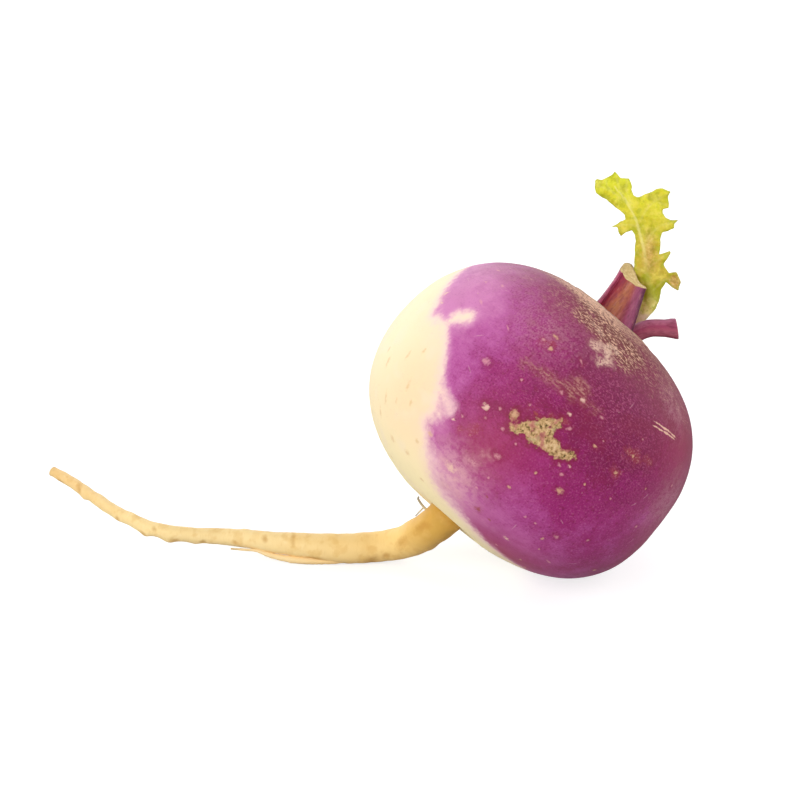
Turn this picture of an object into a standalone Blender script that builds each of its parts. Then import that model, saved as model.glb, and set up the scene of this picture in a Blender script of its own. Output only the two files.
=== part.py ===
"""A purple-top turnip as picked: the swollen root with its tap root, two cut leaf stalks and a young leaf.

It lies tilted on a small flat spot of its lower shoulder, propped by the tap root.
Metres, +Z up. The origin is the middle of the flat spot, and +X runs from the tap root's side to the crown's.
"""
import math

import bmesh
import bpy
from mathutils import Matrix, Vector

MM = 0.001
GAP = 0.3 * MM  # clearance between neighbouring pieces

# The swollen root, in the turnip's own frame: +Z to the crown, +X to the front, origin at its widest girth.
BODY_RADIUS = 39.0 * MM
CROWN_HEIGHT = 31.0 * MM
ROOT_HEIGHT = 30.7 * MM
ROUNDNESS = 2.53  # exponent of the superellipse that the side view follows

# Broad swellings and hollows of the skin: latitude and longitude in degrees, rise in mm.
SWELLINGS = (
    (90, 0, -1.1), (66, -90, 0.55), (0, -90, 1.0), (32, -90, -0.25), (-46, -90, -0.3),
    (60, 90, 0.3), (22, 90, -0.45), (-20, 90, 0.3), (-56, 90, -0.4),
    (8, 10, 0.35), (-38, 25, -0.3), (12, 175, 0.5), (-30, 140, -0.4), (42, -150, 0.4),
)
SWELLING_SPREAD = math.radians(24)

# The wells at both ends: a flat floor, and a wall that rises to the shoulder.
CROWN_WELL_DEPTH = 3.0 * MM
CROWN_FLOOR_RADIUS = 8.5 * MM
CROWN_WELL_RADIUS = 15.5 * MM
ROOT_WELL_DEPTH = 2.5 * MM
ROOT_FLOOR_RADIUS = 4.6 * MM
ROOT_WELL_RADIUS = 12.0 * MM
CROWN_FLOOR = CROWN_HEIGHT - CROWN_WELL_DEPTH
ROOT_FLOOR = ROOT_WELL_DEPTH - ROOT_HEIGHT
STALK_FOOT = CROWN_FLOOR + GAP

# How the turnip lies: spun about its own axis, leaned over, then turned about the vertical.
SPIN = math.radians(-121.2)
LEAN = math.radians(46.8)
HEADING = math.radians(24.7)
BODY_CENTRE = Vector((-6.9, -2.1, 37.2)) * MM
LYING = (
    Matrix.Translation(BODY_CENTRE)
    @ Matrix.Rotation(HEADING, 4, "Z")
    @ Matrix.Rotation(LEAN, 4, "Y")
    @ Matrix.Rotation(SPIN, 4, "Z")
)

# Rings of the skin, from the crown's middle to the tap root.
SEGMENTS = 40
CROWN_RING_RADII = (3.0, 6.0, 8.5, 10.0, 11.5, 13.0, 15.5)
GIRTH_RINGS = 26
GIRTH_LATITUDE = math.radians(68)
ROOT_RING_RADII = (12.0, 10.2, 8.4, 6.6, 4.6)

# The tap root: its middle line as it lies, and its radius, in mm, from the root well to its tip.
TAP_ROOT = (
    (-28.5, -10.1, 14.5, 4.3), (-30.9, -7.4, 11.4, 4.3), (-33.5, -4.3, 8.2, 4.15), (-37.2, -1.7, 5.5, 3.9),
    (-42.4, -0.5, 4.0, 3.75), (-50.0, -1.0, 3.6, 3.75), (-57.0, -0.9, 3.6, 3.7), (-64.5, 0.5, 3.5, 3.65),
    (-71.5, 2.5, 3.3, 3.35), (-76.5, 4.7, 3.4, 2.6), (-82.0, 5.9, 3.7, 2.05), (-88.0, 5.6, 4.2, 1.9),
    (-94.0, 5.6, 4.9, 1.8), (-99.5, 7.2, 5.6, 1.7), (-105.0, 10.5, 6.6, 1.55), (-110.5, 14.7, 7.7, 1.5),
    (-116.0, 20.5, 8.8, 1.45), (-122.0, 26.5, 10.0, 1.4), (-127.0, 30.6, 11.0, 1.3),
)
TAP_ROOT_STEPS = 2
TIP_LENGTH = 0.3 * MM

# Large cut stalk: a hollow-backed section (front, side) in mm at its foot and at its slanting cut.
LARGE_FOOT = (
    (0.0, -7.2), (2.4, -6.6), (4.2, -4.8), (5.0, -2.0), (4.9, 1.2), (3.9, 4.0), (2.2, 5.8), (0.6, 6.4),
    (-0.3, 5.4), (0.6, 3.0), (1.2, 0.2), (0.9, -2.6), (-0.4, -4.6), (-1.6, -6.2),
)
LARGE_TOP = (
    (0.6, -7.9), (2.1, -7.6), (3.1, -6.4), (3.4, -5.0), (3.1, -3.7), (2.4, -2.6), (1.4, -1.2), (0.7, 0.0),
    (0.0, 0.0), (0.1, -1.2), (0.0, -3.2), (-0.9, -5.0), (-2.1, -6.3), (-1.2, -7.5),
)
LARGE_CUT_HEIGHT = 42.5 * MM
LARGE_CUT_SLOPE = -0.75
LARGE_RINGS = 7

# Small cut stalk: its middle line (front, side, up) in mm in the turnip's frame, and its half thicknesses.
SMALL_ROUTE = ((-3.2, 4.5, 28.3), (-3.2, 4.9, 31.8), (-3.2, 6.9, 35.8), (-3.2, 12.0, 40.3))
SMALL_HALF_FRONT = 1.5 * MM
SMALL_HALF_SIDE = 2.2 * MM
SMALL_SEGMENTS = 16
SMALL_STEPS = 3

# Young leaf, leaning back on the crown: its outline in mm, across and up, starting at its stalk's foot.
LEAF_FOOT = Vector((22.8, 14.6, 58.9)) * MM
LEAF_LEAN = math.radians(20)
LEAF_OUTLINE = (
    (-10.6, -6.4), (-5.5, -2.2), (-2.4, 0.6), (-1.4, 3.0), (-1.6, 5.6), (-4.2, 9.0), (-4.5, 12.0),
    (-4.4, 18.0), (-5.0, 19.5), (-7.6, 18.0), (-8.8, 20.0), (-9.8, 20.4), (-6.6, 22.2), (-7.0, 23.6),
    (-11.0, 27.0), (-13.6, 28.6), (-13.7, 31.6), (-10.7, 32.3), (-8.7, 33.9), (-7.6, 32.4), (-5.3, 32.2),
    (-4.6, 29.5), (-4.2, 27.8), (-3.0, 27.6), (0.0, 28.8), (2.4, 29.5), (4.4, 28.8), (4.0, 26.0),
    (2.5, 24.4), (3.2, 22.4), (6.0, 22.0), (5.0, 19.9), (2.4, 18.9), (1.7, 15.9), (1.7, 13.6),
    (4.2, 14.6), (2.7, 11.2), (3.9, 9.3), (5.6, 9.4), (6.8, 7.1), (6.3, 5.1), (3.3, 7.0),
    (2.3, 5.0), (2.0, 3.0), (0.9, -0.8), (-3.6, -4.5), (-8.4, -8.4),
)
# Its rib: across, up, half width and rise over the blade, in mm, from the stalk's foot to the blade's top.
LEAF_RIB = (
    (-9.4, -6.6, 1.55, 1.0), (-4.5, -3.2, 1.55, 1.0), (-0.8, -0.3, 1.55, 1.0), (0.5, 3.0, 1.5, 0.95),
    (-0.4, 8.0, 1.5, 0.7), (-1.6, 15.0, 1.2, 0.55), (-3.2, 22.0, 0.9, 0.4), (-6.0, 27.0, 0.5, 0.2),
)
LEAF_BOW = ((0.0, 0.0), (8.0, 3.4), (15.0, 4.0), (25.0, 3.0), (34.0, 1.0))  # up and forward, in mm
LEAF_CUP = 0.012 / MM
LEAF_CUP_START = 5 * MM
LEAF_CUP_FULL = 12 * MM
LEAF_HALF_THICKNESS = 0.35 * MM
LEAF_CELL = 1.6 * MM
LEAF_MERGE = 0.3 * MM
LEAF_STAND = Matrix.Translation(LEAF_FOOT) @ Matrix.Rotation(math.pi / 2 - LEAF_LEAN, 4, "X")

SHARP_EDGE = math.radians(40)
COLOURS = {
    "turnip_root": ((0.30, 0.06, 0.20), 0.42),
    "large_cut_stalk": ((0.29, 0.06, 0.14), 0.45),
    "small_cut_stalk": ((0.36, 0.07, 0.17), 0.45),
    "young_leaf": ((0.52, 0.50, 0.06), 0.55),
}


def smooth_rise(value, low, high):
    """0 below low, 1 above high, and an even S between."""
    t = min(max((value - low) / (high - low), 0.0), 1.0)
    return t * t * (3.0 - 2.0 * t)


def between(pairs, value):
    """Reads a polyline of (position, height) pairs at a position."""
    if value <= pairs[0][0]:
        return pairs[0][1]
    for (a, fa), (b, fb) in zip(pairs, pairs[1:]):
        if value <= b:
            return fa + (fb - fa) * (value - a) / (b - a)
    return pairs[-1][1]


def curve_through(points, steps):
    """Points of a smooth open curve through the given vectors, with that many steps to a span."""
    ends = [points[0] * 2 - points[1]] + list(points) + [points[-1] * 2 - points[-2]]
    out = []
    for a, b, c, d in zip(ends, ends[1:], ends[2:], ends[3:]):
        for i in range(steps):
            t = i / steps
            out.append(0.5 * (b * 2 + (c - a) * t + (a * 2 - b * 5 + c * 4 - d) * t * t
                              + (b * 3 - a - c * 3 + d) * t * t * t))
    out.append(points[-1].copy())
    return out


def loop_through(points, steps):
    """Points of a smooth closed curve through the given vectors."""
    wrapped = [points[-1]] + list(points) + [points[0], points[1]]
    out = curve_through(wrapped, steps)
    return out[steps:steps * (len(points) + 1)]


def direction(latitude, longitude):
    return Vector((
        math.cos(latitude) * math.cos(longitude),
        math.cos(latitude) * math.sin(longitude),
        math.sin(latitude),
    ))


SWELLING_TABLE = [(direction(math.radians(a), math.radians(b)), rise * MM) for a, b, rise in SWELLINGS]


def swelling(outward):
    total = 0.0
    for middle, rise in SWELLING_TABLE:
        angle = outward.angle(middle) / SWELLING_SPREAD
        total += rise * math.exp(-angle * angle)
    return total


def skin_point(tilt, longitude):
    """A point of the swollen root in the turnip's frame; tilt is +90 degrees at the crown."""
    height = CROWN_HEIGHT if tilt > 0 else ROOT_HEIGHT
    radius = BODY_RADIUS * abs(math.cos(tilt)) ** (2 / ROUNDNESS)
    rise = math.copysign(height * abs(math.sin(tilt)) ** (2 / ROUNDNESS), tilt)
    point = Vector((radius * math.cos(longitude), radius * math.sin(longitude), rise))
    outward = point.normalized()
    point += outward * swelling(outward)
    across = math.hypot(point.x, point.y)
    if point.z > 0:
        wall = smooth_rise(across, CROWN_FLOOR_RADIUS, CROWN_WELL_RADIUS)
        point.z = CROWN_FLOOR + (point.z - CROWN_FLOOR) * wall
    else:
        wall = smooth_rise(across, ROOT_FLOOR_RADIUS, ROOT_WELL_RADIUS)
        point.z = ROOT_FLOOR + (point.z - ROOT_FLOOR) * wall
    return point


def tilt_at(radius_mm):
    return math.acos((radius_mm * MM / BODY_RADIUS) ** (ROUNDNESS / 2))


def body_rings():
    """Rings from the crown's floor, over the girth, to the root well's floor."""
    tilts = [tilt_at(radius) for radius in CROWN_RING_RADII]
    tilts += [GIRTH_LATITUDE * (1 - 2 * i / (GIRTH_RINGS - 1)) for i in range(GIRTH_RINGS)]
    tilts += [-tilt_at(radius) for radius in ROOT_RING_RADII]
    longitudes = [2 * math.pi * i / SEGMENTS for i in range(SEGMENTS)]
    return [[skin_point(tilt, longitude) for longitude in longitudes] for tilt in tilts]


def tap_root_rings():
    """Rings along the tap root, turned as little as possible from one to the next, and the tip's point."""
    own = LYING.inverted()
    stations = [Vector((0, 0, ROOT_FLOOR, ROOT_FLOOR_RADIUS))]
    for x, y, z, radius in TAP_ROOT:
        stations.append(Vector((*(own @ (Vector((x, y, z)) * MM)), radius * MM)))
    stations = curve_through(stations, TAP_ROOT_STEPS)
    middles = [station.xyz for station in stations]
    side_a, side_b, ahead = Vector((1, 0, 0)), Vector((0, 1, 0)), Vector((0, 0, -1))
    rings = []
    for i in range(1, len(stations)):
        tangent = (middles[min(i + 1, len(middles) - 1)] - middles[i - 1]).normalized()
        turn = ahead.rotation_difference(tangent)
        side_a, side_b, ahead = turn @ side_a, turn @ side_b, tangent
        rings.append(ring_about(middles[i], side_a, side_b, stations[i].w, stations[i].w, SEGMENTS))
    return rings, middles[-1] + ahead * TIP_LENGTH


def ring_about(middle, side_a, side_b, half_a, half_b, count):
    ring = []
    for i in range(count):
        angle = 2 * math.pi * i / count
        ring.append(middle + side_a * (half_a * math.cos(angle)) + side_b * (half_b * math.sin(angle)))
    return ring


def skin_rings(bm, rings):
    """Joins rings of equal count into a tube and returns the vertices of its two end rings."""
    loops = [[bm.verts.new(point) for point in ring] for ring in rings]
    for lower, upper in zip(loops, loops[1:]):
        for i in range(len(lower)):
            j = (i + 1) % len(lower)
            bm.faces.new((lower[i], lower[j], upper[j], upper[i]))
    return loops[0], loops[-1]


def close_with_point(bm, loop, point):
    tip = bm.verts.new(point)
    for i in range(len(loop)):
        bm.faces.new((loop[i], loop[(i + 1) % len(loop)], tip))


def cut_flat(bm, point, normal):
    """Takes away what lies behind the plane and closes the openings that it leaves."""
    everything = bm.verts[:] + bm.edges[:] + bm.faces[:]
    bmesh.ops.bisect_plane(bm, geom=everything, dist=1e-7, plane_co=point, plane_no=normal, clear_inner=True)
    open_edges = [edge for edge in bm.edges if edge.is_boundary]
    bmesh.ops.holes_fill(bm, edges=open_edges, sides=0)


def add_piece(name, bm, place):
    """Turns every face outward, splits the bent ones and puts the object in its place, with its material."""
    bmesh.ops.recalc_face_normals(bm, faces=bm.faces[:])
    bmesh.ops.triangulate(bm, faces=[face for face in bm.faces if len(face.verts) == 4])
    mesh = bpy.data.meshes.new(name)
    bm.to_mesh(mesh)
    bm.free()
    mesh.shade_smooth()
    mesh.set_sharp_from_angle(angle=SHARP_EDGE)
    piece = bpy.data.objects.new(name, mesh)
    piece.matrix_world = place
    bpy.context.scene.collection.objects.link(piece)
    colour, roughness = COLOURS[name]
    material = bpy.data.materials.new(name + "_material")
    material.use_nodes = True
    shader = material.node_tree.nodes["Principled BSDF"]
    shader.inputs["Base Color"].default_value = (*colour, 1.0)
    shader.inputs["Roughness"].default_value = roughness
    mesh.materials.append(material)
    return piece


def build_turnip_root():
    bm = bmesh.new()
    tail, tip = tap_root_rings()
    first, last = skin_rings(bm, body_rings() + tail)
    close_with_point(bm, first, Vector((0, 0, CROWN_FLOOR)))
    close_with_point(bm, last, tip)
    bmesh.ops.triangulate(bm, faces=bm.faces[:])
    own = LYING.inverted()
    cut_flat(bm, own.translation, own.to_3x3() @ Vector((0, 0, 1)))
    add_piece("turnip_root", bm, LYING)


def build_large_stalk():
    foot = loop_through([Vector((x, y, 0)) * MM for x, y in LARGE_FOOT], 2)
    top = loop_through([Vector((x, y, 0)) * MM for x, y in LARGE_TOP], 2)
    rings = []
    for i in range(LARGE_RINGS):
        t = i / (LARGE_RINGS - 1)
        ring = []
        for low, high in zip(foot, top):
            point = low.lerp(high, t)
            point.z = STALK_FOOT + (LARGE_CUT_HEIGHT + LARGE_CUT_SLOPE * high.x - STALK_FOOT) * t
            ring.append(point)
        rings.append(ring)
    bm = bmesh.new()
    first, last = skin_rings(bm, rings)
    bm.faces.new(first)
    bm.faces.new(last)
    add_piece("large_cut_stalk", bm, LYING)


def build_small_stalk():
    middles = curve_through([Vector(point) * MM for point in SMALL_ROUTE], SMALL_STEPS)
    front = Vector((1, 0, 0))
    rings = []
    for i, middle in enumerate(middles):
        tangent = middles[min(i + 1, len(middles) - 1)] - middles[max(i - 1, 0)]
        tangent = Vector((0, 0, 1)) if i == 0 else tangent.normalized()
        side = tangent.cross(front)
        rings.append(ring_about(middle, front, side, SMALL_HALF_FRONT, SMALL_HALF_SIDE, SMALL_SEGMENTS))
    bm = bmesh.new()
    first, last = skin_rings(bm, rings)
    bm.faces.new(first)
    bm.faces.new(last)
    add_piece("small_cut_stalk", bm, LYING)


def leaf_rib(across, up):
    """How much the rib thickens the leaf at a point of its plane."""
    here = Vector((across, up))
    best = 0.0
    for start, end in zip(LEAF_RIB, LEAF_RIB[1:]):
        low, high = Vector(start) * MM, Vector(end) * MM
        span = high.xy - low.xy
        t = min(max((here - low.xy).dot(span) / span.length_squared, 0.0), 1.0)
        near = low.lerp(high, t)
        off = (here - near.xy).length / near.z
        best = max(best, near.w * math.sqrt(max(1 - off * off, 0.0)))
    return best


def leaf_middle(across, up):
    """How far the leaf's middle surface stands forward of its plane: it bows, and its blade is cupped."""
    bow = between(LEAF_BOW, up / MM) * MM
    rib = between([(v, u) for u, v, width, rise in LEAF_RIB], up / MM) * MM
    return bow + smooth_rise(up, LEAF_CUP_START, LEAF_CUP_FULL) * LEAF_CUP * (across - rib) ** 2


def leaf_sheet():
    """The flat outline of the leaf, cut into cells so that it can bend."""
    bm = bmesh.new()
    bm.faces.new([bm.verts.new((u * MM, v * MM, 0)) for u, v in LEAF_OUTLINE])
    lowest = math.floor(min(min(point) for point in LEAF_OUTLINE) * MM / LEAF_CELL)
    highest = math.ceil(max(max(point) for point in LEAF_OUTLINE) * MM / LEAF_CELL)
    for axis in (Vector((1, 0, 0)), Vector((0, 1, 0))):
        for i in range(lowest, highest):
            line = axis * (i * LEAF_CELL)
            everything = bm.verts[:] + bm.edges[:] + bm.faces[:]
            bmesh.ops.bisect_plane(bm, geom=everything, dist=1e-6, plane_co=line, plane_no=axis)
    bmesh.ops.remove_doubles(bm, verts=bm.verts[:], dist=LEAF_MERGE)
    bmesh.ops.triangulate(bm, faces=bm.faces[:])
    bm.verts.index_update()
    return bm


def leaf_side(bm, sheet, way):
    """The leaf's front (way 1) or back (way -1) vertices, one for each of the sheet's."""
    verts = []
    for vert in sheet.verts:
        across, up = vert.co.xy
        half = LEAF_HALF_THICKNESS + (0.0 if vert.is_boundary else leaf_rib(across, up))
        verts.append(bm.verts.new((across, up, leaf_middle(across, up) + way * half)))
    return verts


def build_leaf():
    sheet = leaf_sheet()
    bm = bmesh.new()
    front, back = leaf_side(bm, sheet, 1), leaf_side(bm, sheet, -1)
    for face in sheet.faces:
        order = [vert.index for vert in face.verts]
        bm.faces.new([front[i] for i in order])
        bm.faces.new([back[i] for i in reversed(order)])
    for edge in sheet.edges:
        if edge.is_boundary:
            a, b = (vert.index for vert in edge.verts)
            bm.faces.new((front[a], front[b], back[b], back[a]))
    sheet.free()
    crown = LEAF_STAND.inverted() @ LYING
    cut_flat(bm, crown @ Vector((0, 0, STALK_FOOT)), crown.to_3x3() @ Vector((0, 0, 1)))
    add_piece("young_leaf", bm, LEAF_STAND)


def main():
    for old in list(bpy.data.objects):
        bpy.data.objects.remove(old, do_unlink=True)
    build_turnip_root()
    build_large_stalk()
    build_small_stalk()
    build_leaf()


main()
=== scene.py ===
"""The turnip's looks: its skin with every mark and wrinkle, two cut leaf stalks, a young leaf and rootlets.

Modelling is in millimetres, and a mesh becomes metres when it is made. "Own" means the turnip's own frame:
z to the crown, x to the front, origin at the middle of its girth. Everything else is in the row's frame.
"""

import math

import bpy
import numpy as np
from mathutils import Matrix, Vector, geometry, noise


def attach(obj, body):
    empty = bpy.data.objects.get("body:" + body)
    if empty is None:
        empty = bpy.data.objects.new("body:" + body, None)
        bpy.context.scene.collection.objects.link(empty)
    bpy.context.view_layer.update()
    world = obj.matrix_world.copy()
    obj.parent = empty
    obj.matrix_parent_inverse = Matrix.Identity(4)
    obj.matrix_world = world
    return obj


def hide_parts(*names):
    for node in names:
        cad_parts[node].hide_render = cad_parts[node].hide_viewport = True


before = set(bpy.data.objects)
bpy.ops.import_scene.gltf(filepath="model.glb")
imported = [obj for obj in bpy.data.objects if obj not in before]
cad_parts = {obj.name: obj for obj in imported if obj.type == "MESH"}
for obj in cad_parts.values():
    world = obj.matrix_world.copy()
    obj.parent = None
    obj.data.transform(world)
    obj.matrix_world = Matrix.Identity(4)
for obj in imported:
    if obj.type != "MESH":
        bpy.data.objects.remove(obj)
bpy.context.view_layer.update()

MM = 0.001

# ---------------------------------------------------------------- the swollen root's shape

BODY_RADIUS = 39.0
CROWN_HEIGHT = 31.0
ROOT_HEIGHT = 30.7
ROUNDNESS = 2.53
# Latitude and longitude in degrees, rise in mm.
SWELLINGS = (
    (90, 0, -1.1), (66, -90, 0.55), (0, -90, 1.0), (32, -90, -0.25), (-46, -90, -0.3),
    (60, 90, 0.3), (22, 90, -0.45), (-20, 90, 0.3), (-56, 90, -0.4),
    (8, 10, 0.35), (-38, 25, -0.3), (12, 175, 0.5), (-30, 140, -0.4), (42, -150, 0.4),
)
SWELLING_SPREAD = 24
CROWN_FLOOR = 28.0
CROWN_FLOOR_RADIUS = 8.5
CROWN_WELL_RADIUS = 15.5
ROOT_FLOOR = -28.2
ROOT_FLOOR_RADIUS = 4.6
ROOT_WELL_RADIUS = 12.0

SPIN, LEAN, HEADING = (math.radians(a) for a in (-121.2, 46.8, 24.7))
BODY_CENTRE = np.array((-6.9, -2.1, 37.2))

SKIN_STEP = 0.6
ROOT_STEP = 0.45
# Segments round a ring of at least that radius.
RING_COUNTS = ((13.0, 384), (6.5, 192), (3.2, 96), (1.6, 48), (0.0, 24))
TAP_ROOT_LENGTH = 126.0
# Segments round the tap root's first few mm, and round the rest of it.
TAP_ROOT_START = 3.0
TAP_ROOT_COUNTS = (96, 48)
# The swirl layer is narrowed by this much across, so that noise in it runs round the axis.
SWIRL_WIDTH = 0.55

# The tap root's middle line in the row's frame, and its radius.
TAP_ROOT = (
    (-28.5, -10.1, 14.5, 4.3), (-30.9, -7.4, 11.4, 4.3), (-33.5, -4.3, 8.2, 4.15), (-37.2, -1.7, 5.5, 3.9),
    (-42.4, -0.5, 4, 3.75), (-50, -1, 3.7, 3.65), (-57, -0.8, 4, 3.3), (-61.5, 0, 4.15, 3),
    (-66.5, 1, 4.2, 2.7), (-71.5, 2.6, 4.1, 2.4), (-76.5, 4.6, 3.9, 2.2), (-82, 5.8, 3.85, 2),
    (-88, 5.7, 4.2, 1.9), (-94, 5.6, 4.9, 1.8), (-99.5, 7.2, 5.6, 1.7), (-105, 10.5, 6.6, 1.55),
    (-110.5, 14.7, 7.7, 1.5), (-116, 20.5, 8.8, 1.45), (-122, 26.5, 10, 1.4), (-127, 30.6, 11, 1.3),
)

# ---------------------------------------------------------------- marks on the skin: latitude, longitude, mm

FAR = 9.0  # stands for "nowhere near" in the layers that hold a way to a mark
NOWHERE = np.array((0.0, 0.0, FAR))
# Where purple turns to cream: a plane in the own frame, with lobes (latitude, longitude, reach, spread).
TINT_NORMAL = np.array((0.442, 0.603, 0.664))
TINT_OFFSET = -6.85
TINT_LOBES = (
    (5, -62, 2.4, 14), (-12, -35, -1.6, 13), (-3, -45, -2, 8), (1.5, -50.5, -1.6, 4), (-18, -24, -2.2, 5),
    (-30, -31, 2.1, 6), (-44, -20, 4.6, 17), (-52, 8, 0.3, 9), (-58, 34, 1.3, 14), (-56, 48, -2.6, 17),
    (-46, 78, -4, 14),
)
# Strokes: latitude and longitude of the start and of the end, half width.
# A spur of purple hangs over a notch of cream.
TINT_SPUR = (
    (11, -58, 5, -58.5, 1.4), (5, -58.5, 4, -58.5, 0.9), (-24, -20, -26.5, -27, 1.6),
    (-26.5, -27, -27.5, -30.5, 1.1),
)
TINT_NOTCH = (
    (8.6, -45, 6.5, -47.6, 1.75), (6.5, -47.6, 5.4, -49.2, 1.5), (5.4, -49.2, 4.2, -50, 0.8),
    (-16, -33, -19, -27, 1), (-21, -32, -22, -29, 0.7),
)
STROKES = {
    "scab": (
        (-9.7, -5.2, -7.4, -2.6, 1.3), (-6.4, -3.2, -1.8, 0.6, 1), (-1.8, 0.6, 0.6, 3.6, 0.9),
        (-7.4, 0.2, -6.6, 5.2, 1.9), (-6.8, 5.2, -6.4, 8.6, 1.5), (-6.4, 9.2, -4.8, 14.2, 0.95),
        (-5.4, 0.2, -4.2, 3.4, 1.3), (-6.7, -8.5, -6.9, -8, 0.6),
    ),
    "net": (
        (8, -17, 9, -11, 0.9), (9, -11, 10, -5, 1.1), (10.5, -4, 11.4, 1, 1.2), (14, 0, 13, 4, 1.6),
        (11.4, 1, 12, 10, 0.6), (9, -2.5, 9.5, 1, 0.5),
    ),
    "scurf": (
        (46, -20, 43, 0, 2.7), (43, 0, 40, 12, 2.3), (38, -15, 34, 5, 2.1), (56, -34, 54, -8, 2.6),
        (34, 4, 33, 10, 1.4),
    ),
    "pale": (
        (29.5, -4, 30.5, 2, 1.4), (30.5, 1, 27.5, 4, 1.2), (33, 0, 34, 4, 0.9), (25.5, 0, 25, 2, 0.8),
        (35, -5, 37, -9, 0.5),
    ),
    "blush": (
        (-34, -19, -34.5, -14.5, 1), (-34, -13, -33.5, -9, 1.1), (-28, -11.5, -27.5, -8.5, 0.9),
        (-38, -10, -35, -6, 0.9), (-44.5, -14, -43, -6, 0.8), (-24, -8, -22, -6.5, 0.6),
    ),
    "rust": (
        (9.5, 29.5, 9.5, 33, 1), (11, 36, 12, 38, 0.6), (-42, 6, -42, 7, 0.5), (-21, -19, -19, -15, 0.7),
        (1, 29, 1.5, 31, 0.7), (18, -17, 19, -15, 0.8), (1, 4.5, -2, -4, 0.5),
    ),
    "bruise": (
        (-10, -18, -4, -4, 1.3), (1, -4, 3, 6, 1), (9, 2, 7, 14, 1.5), (3, 10, 4, 20, 0.9),
        (15, 22, 21, 32, 1.6), (28, 36, 26, 46, 1.4), (-4, 26, -2, 32, 0.8),
    ),
}
# Bells: latitude, longitude, height, spread in degrees. Where the purple is thin:
THIN_PURPLE = (
    (12, -58, 0.42, 22), (-44, -10, 0.42, 16), (-50, 40, 0.1, 20), (-14, -16, -0.38, 15), (-4, -24, 0.08, 9),
    (-26, -14, -0.1, 7), (-24, -26, 0.4, 4), (-24, 9, 0.12, 12), (-14, 42, 0.3, 22), (4, 58, 0.58, 18),
    (20, 12, -0.42, 20), (0, -9, -0.16, 9), (34, -52, 0.25, 12),
)
# Where it is warm and brownish, where pale bloom near the limbs is partly dust and partly painted sheen, and where
# it is hatched with fine dark lines:
WARM = ((-64, 25, 1, 22), (-2, 84, 1, 20), (26, 52, 1, 16), (-20, -8, 1, 15), (-56, 60, 1, 18))
DUST_AND_SHEEN = ((24, -20, 0.7, 13), (34, -52, 0.6, 15), (37, 41, 1.25, 9), (8, 64, 0.9, 11))
HATCHED = ((22, 14, 1, 17), (2, -8, 0.6, 16), (8, 32, 0.7, 18))
# Where the edge of the purple is soft, and where it frays:
SOFT = ((-42, -12, 3.4, 13), (-19, -27, 1.3, 7))
FRAYED = ((-42, -12, 2.5, 16),)
# Russet away from the crown:
RUSSET = ((18, 68, 0.2, 20), (-12, 84, 0.2, 18))
# Fine pale scratches: latitude, longitude, half length, degrees turned from eastward.
HAIRS = (
    (17, -50, 1.9, -12), (-36, 22, 1.2, -70), (3, 48, 1.6, 75), (-1, 46, 1, 60), (6, -36, 1.4, 40),
    (-5, -30, 1, -30), (24, -44, 1.3, 15), (20, -62, 1.1, -20), (-16, -30, 0.9, 10), (34, -60, 1, 30),
    (-22, 30, 0.8, -15), (-30, 54, 1, 50), (21, 20, 0.9, 80), (-10, 62, 1.2, 80), (8, 120, 1.8, 20),
    (-10, 150, 1.4, 70), (25, -140, 1.6, -40), (-25, 110, 1.3, 35), (30, 150, 1.2, 5), (-40, 160, 1.5, -60),
    (5, -110, 1.2, 60),
)
HAIR_HALF_WIDTH = 0.11
SCRATCH = ((22.5, 30.5), (25.0, 45.5))
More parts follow.
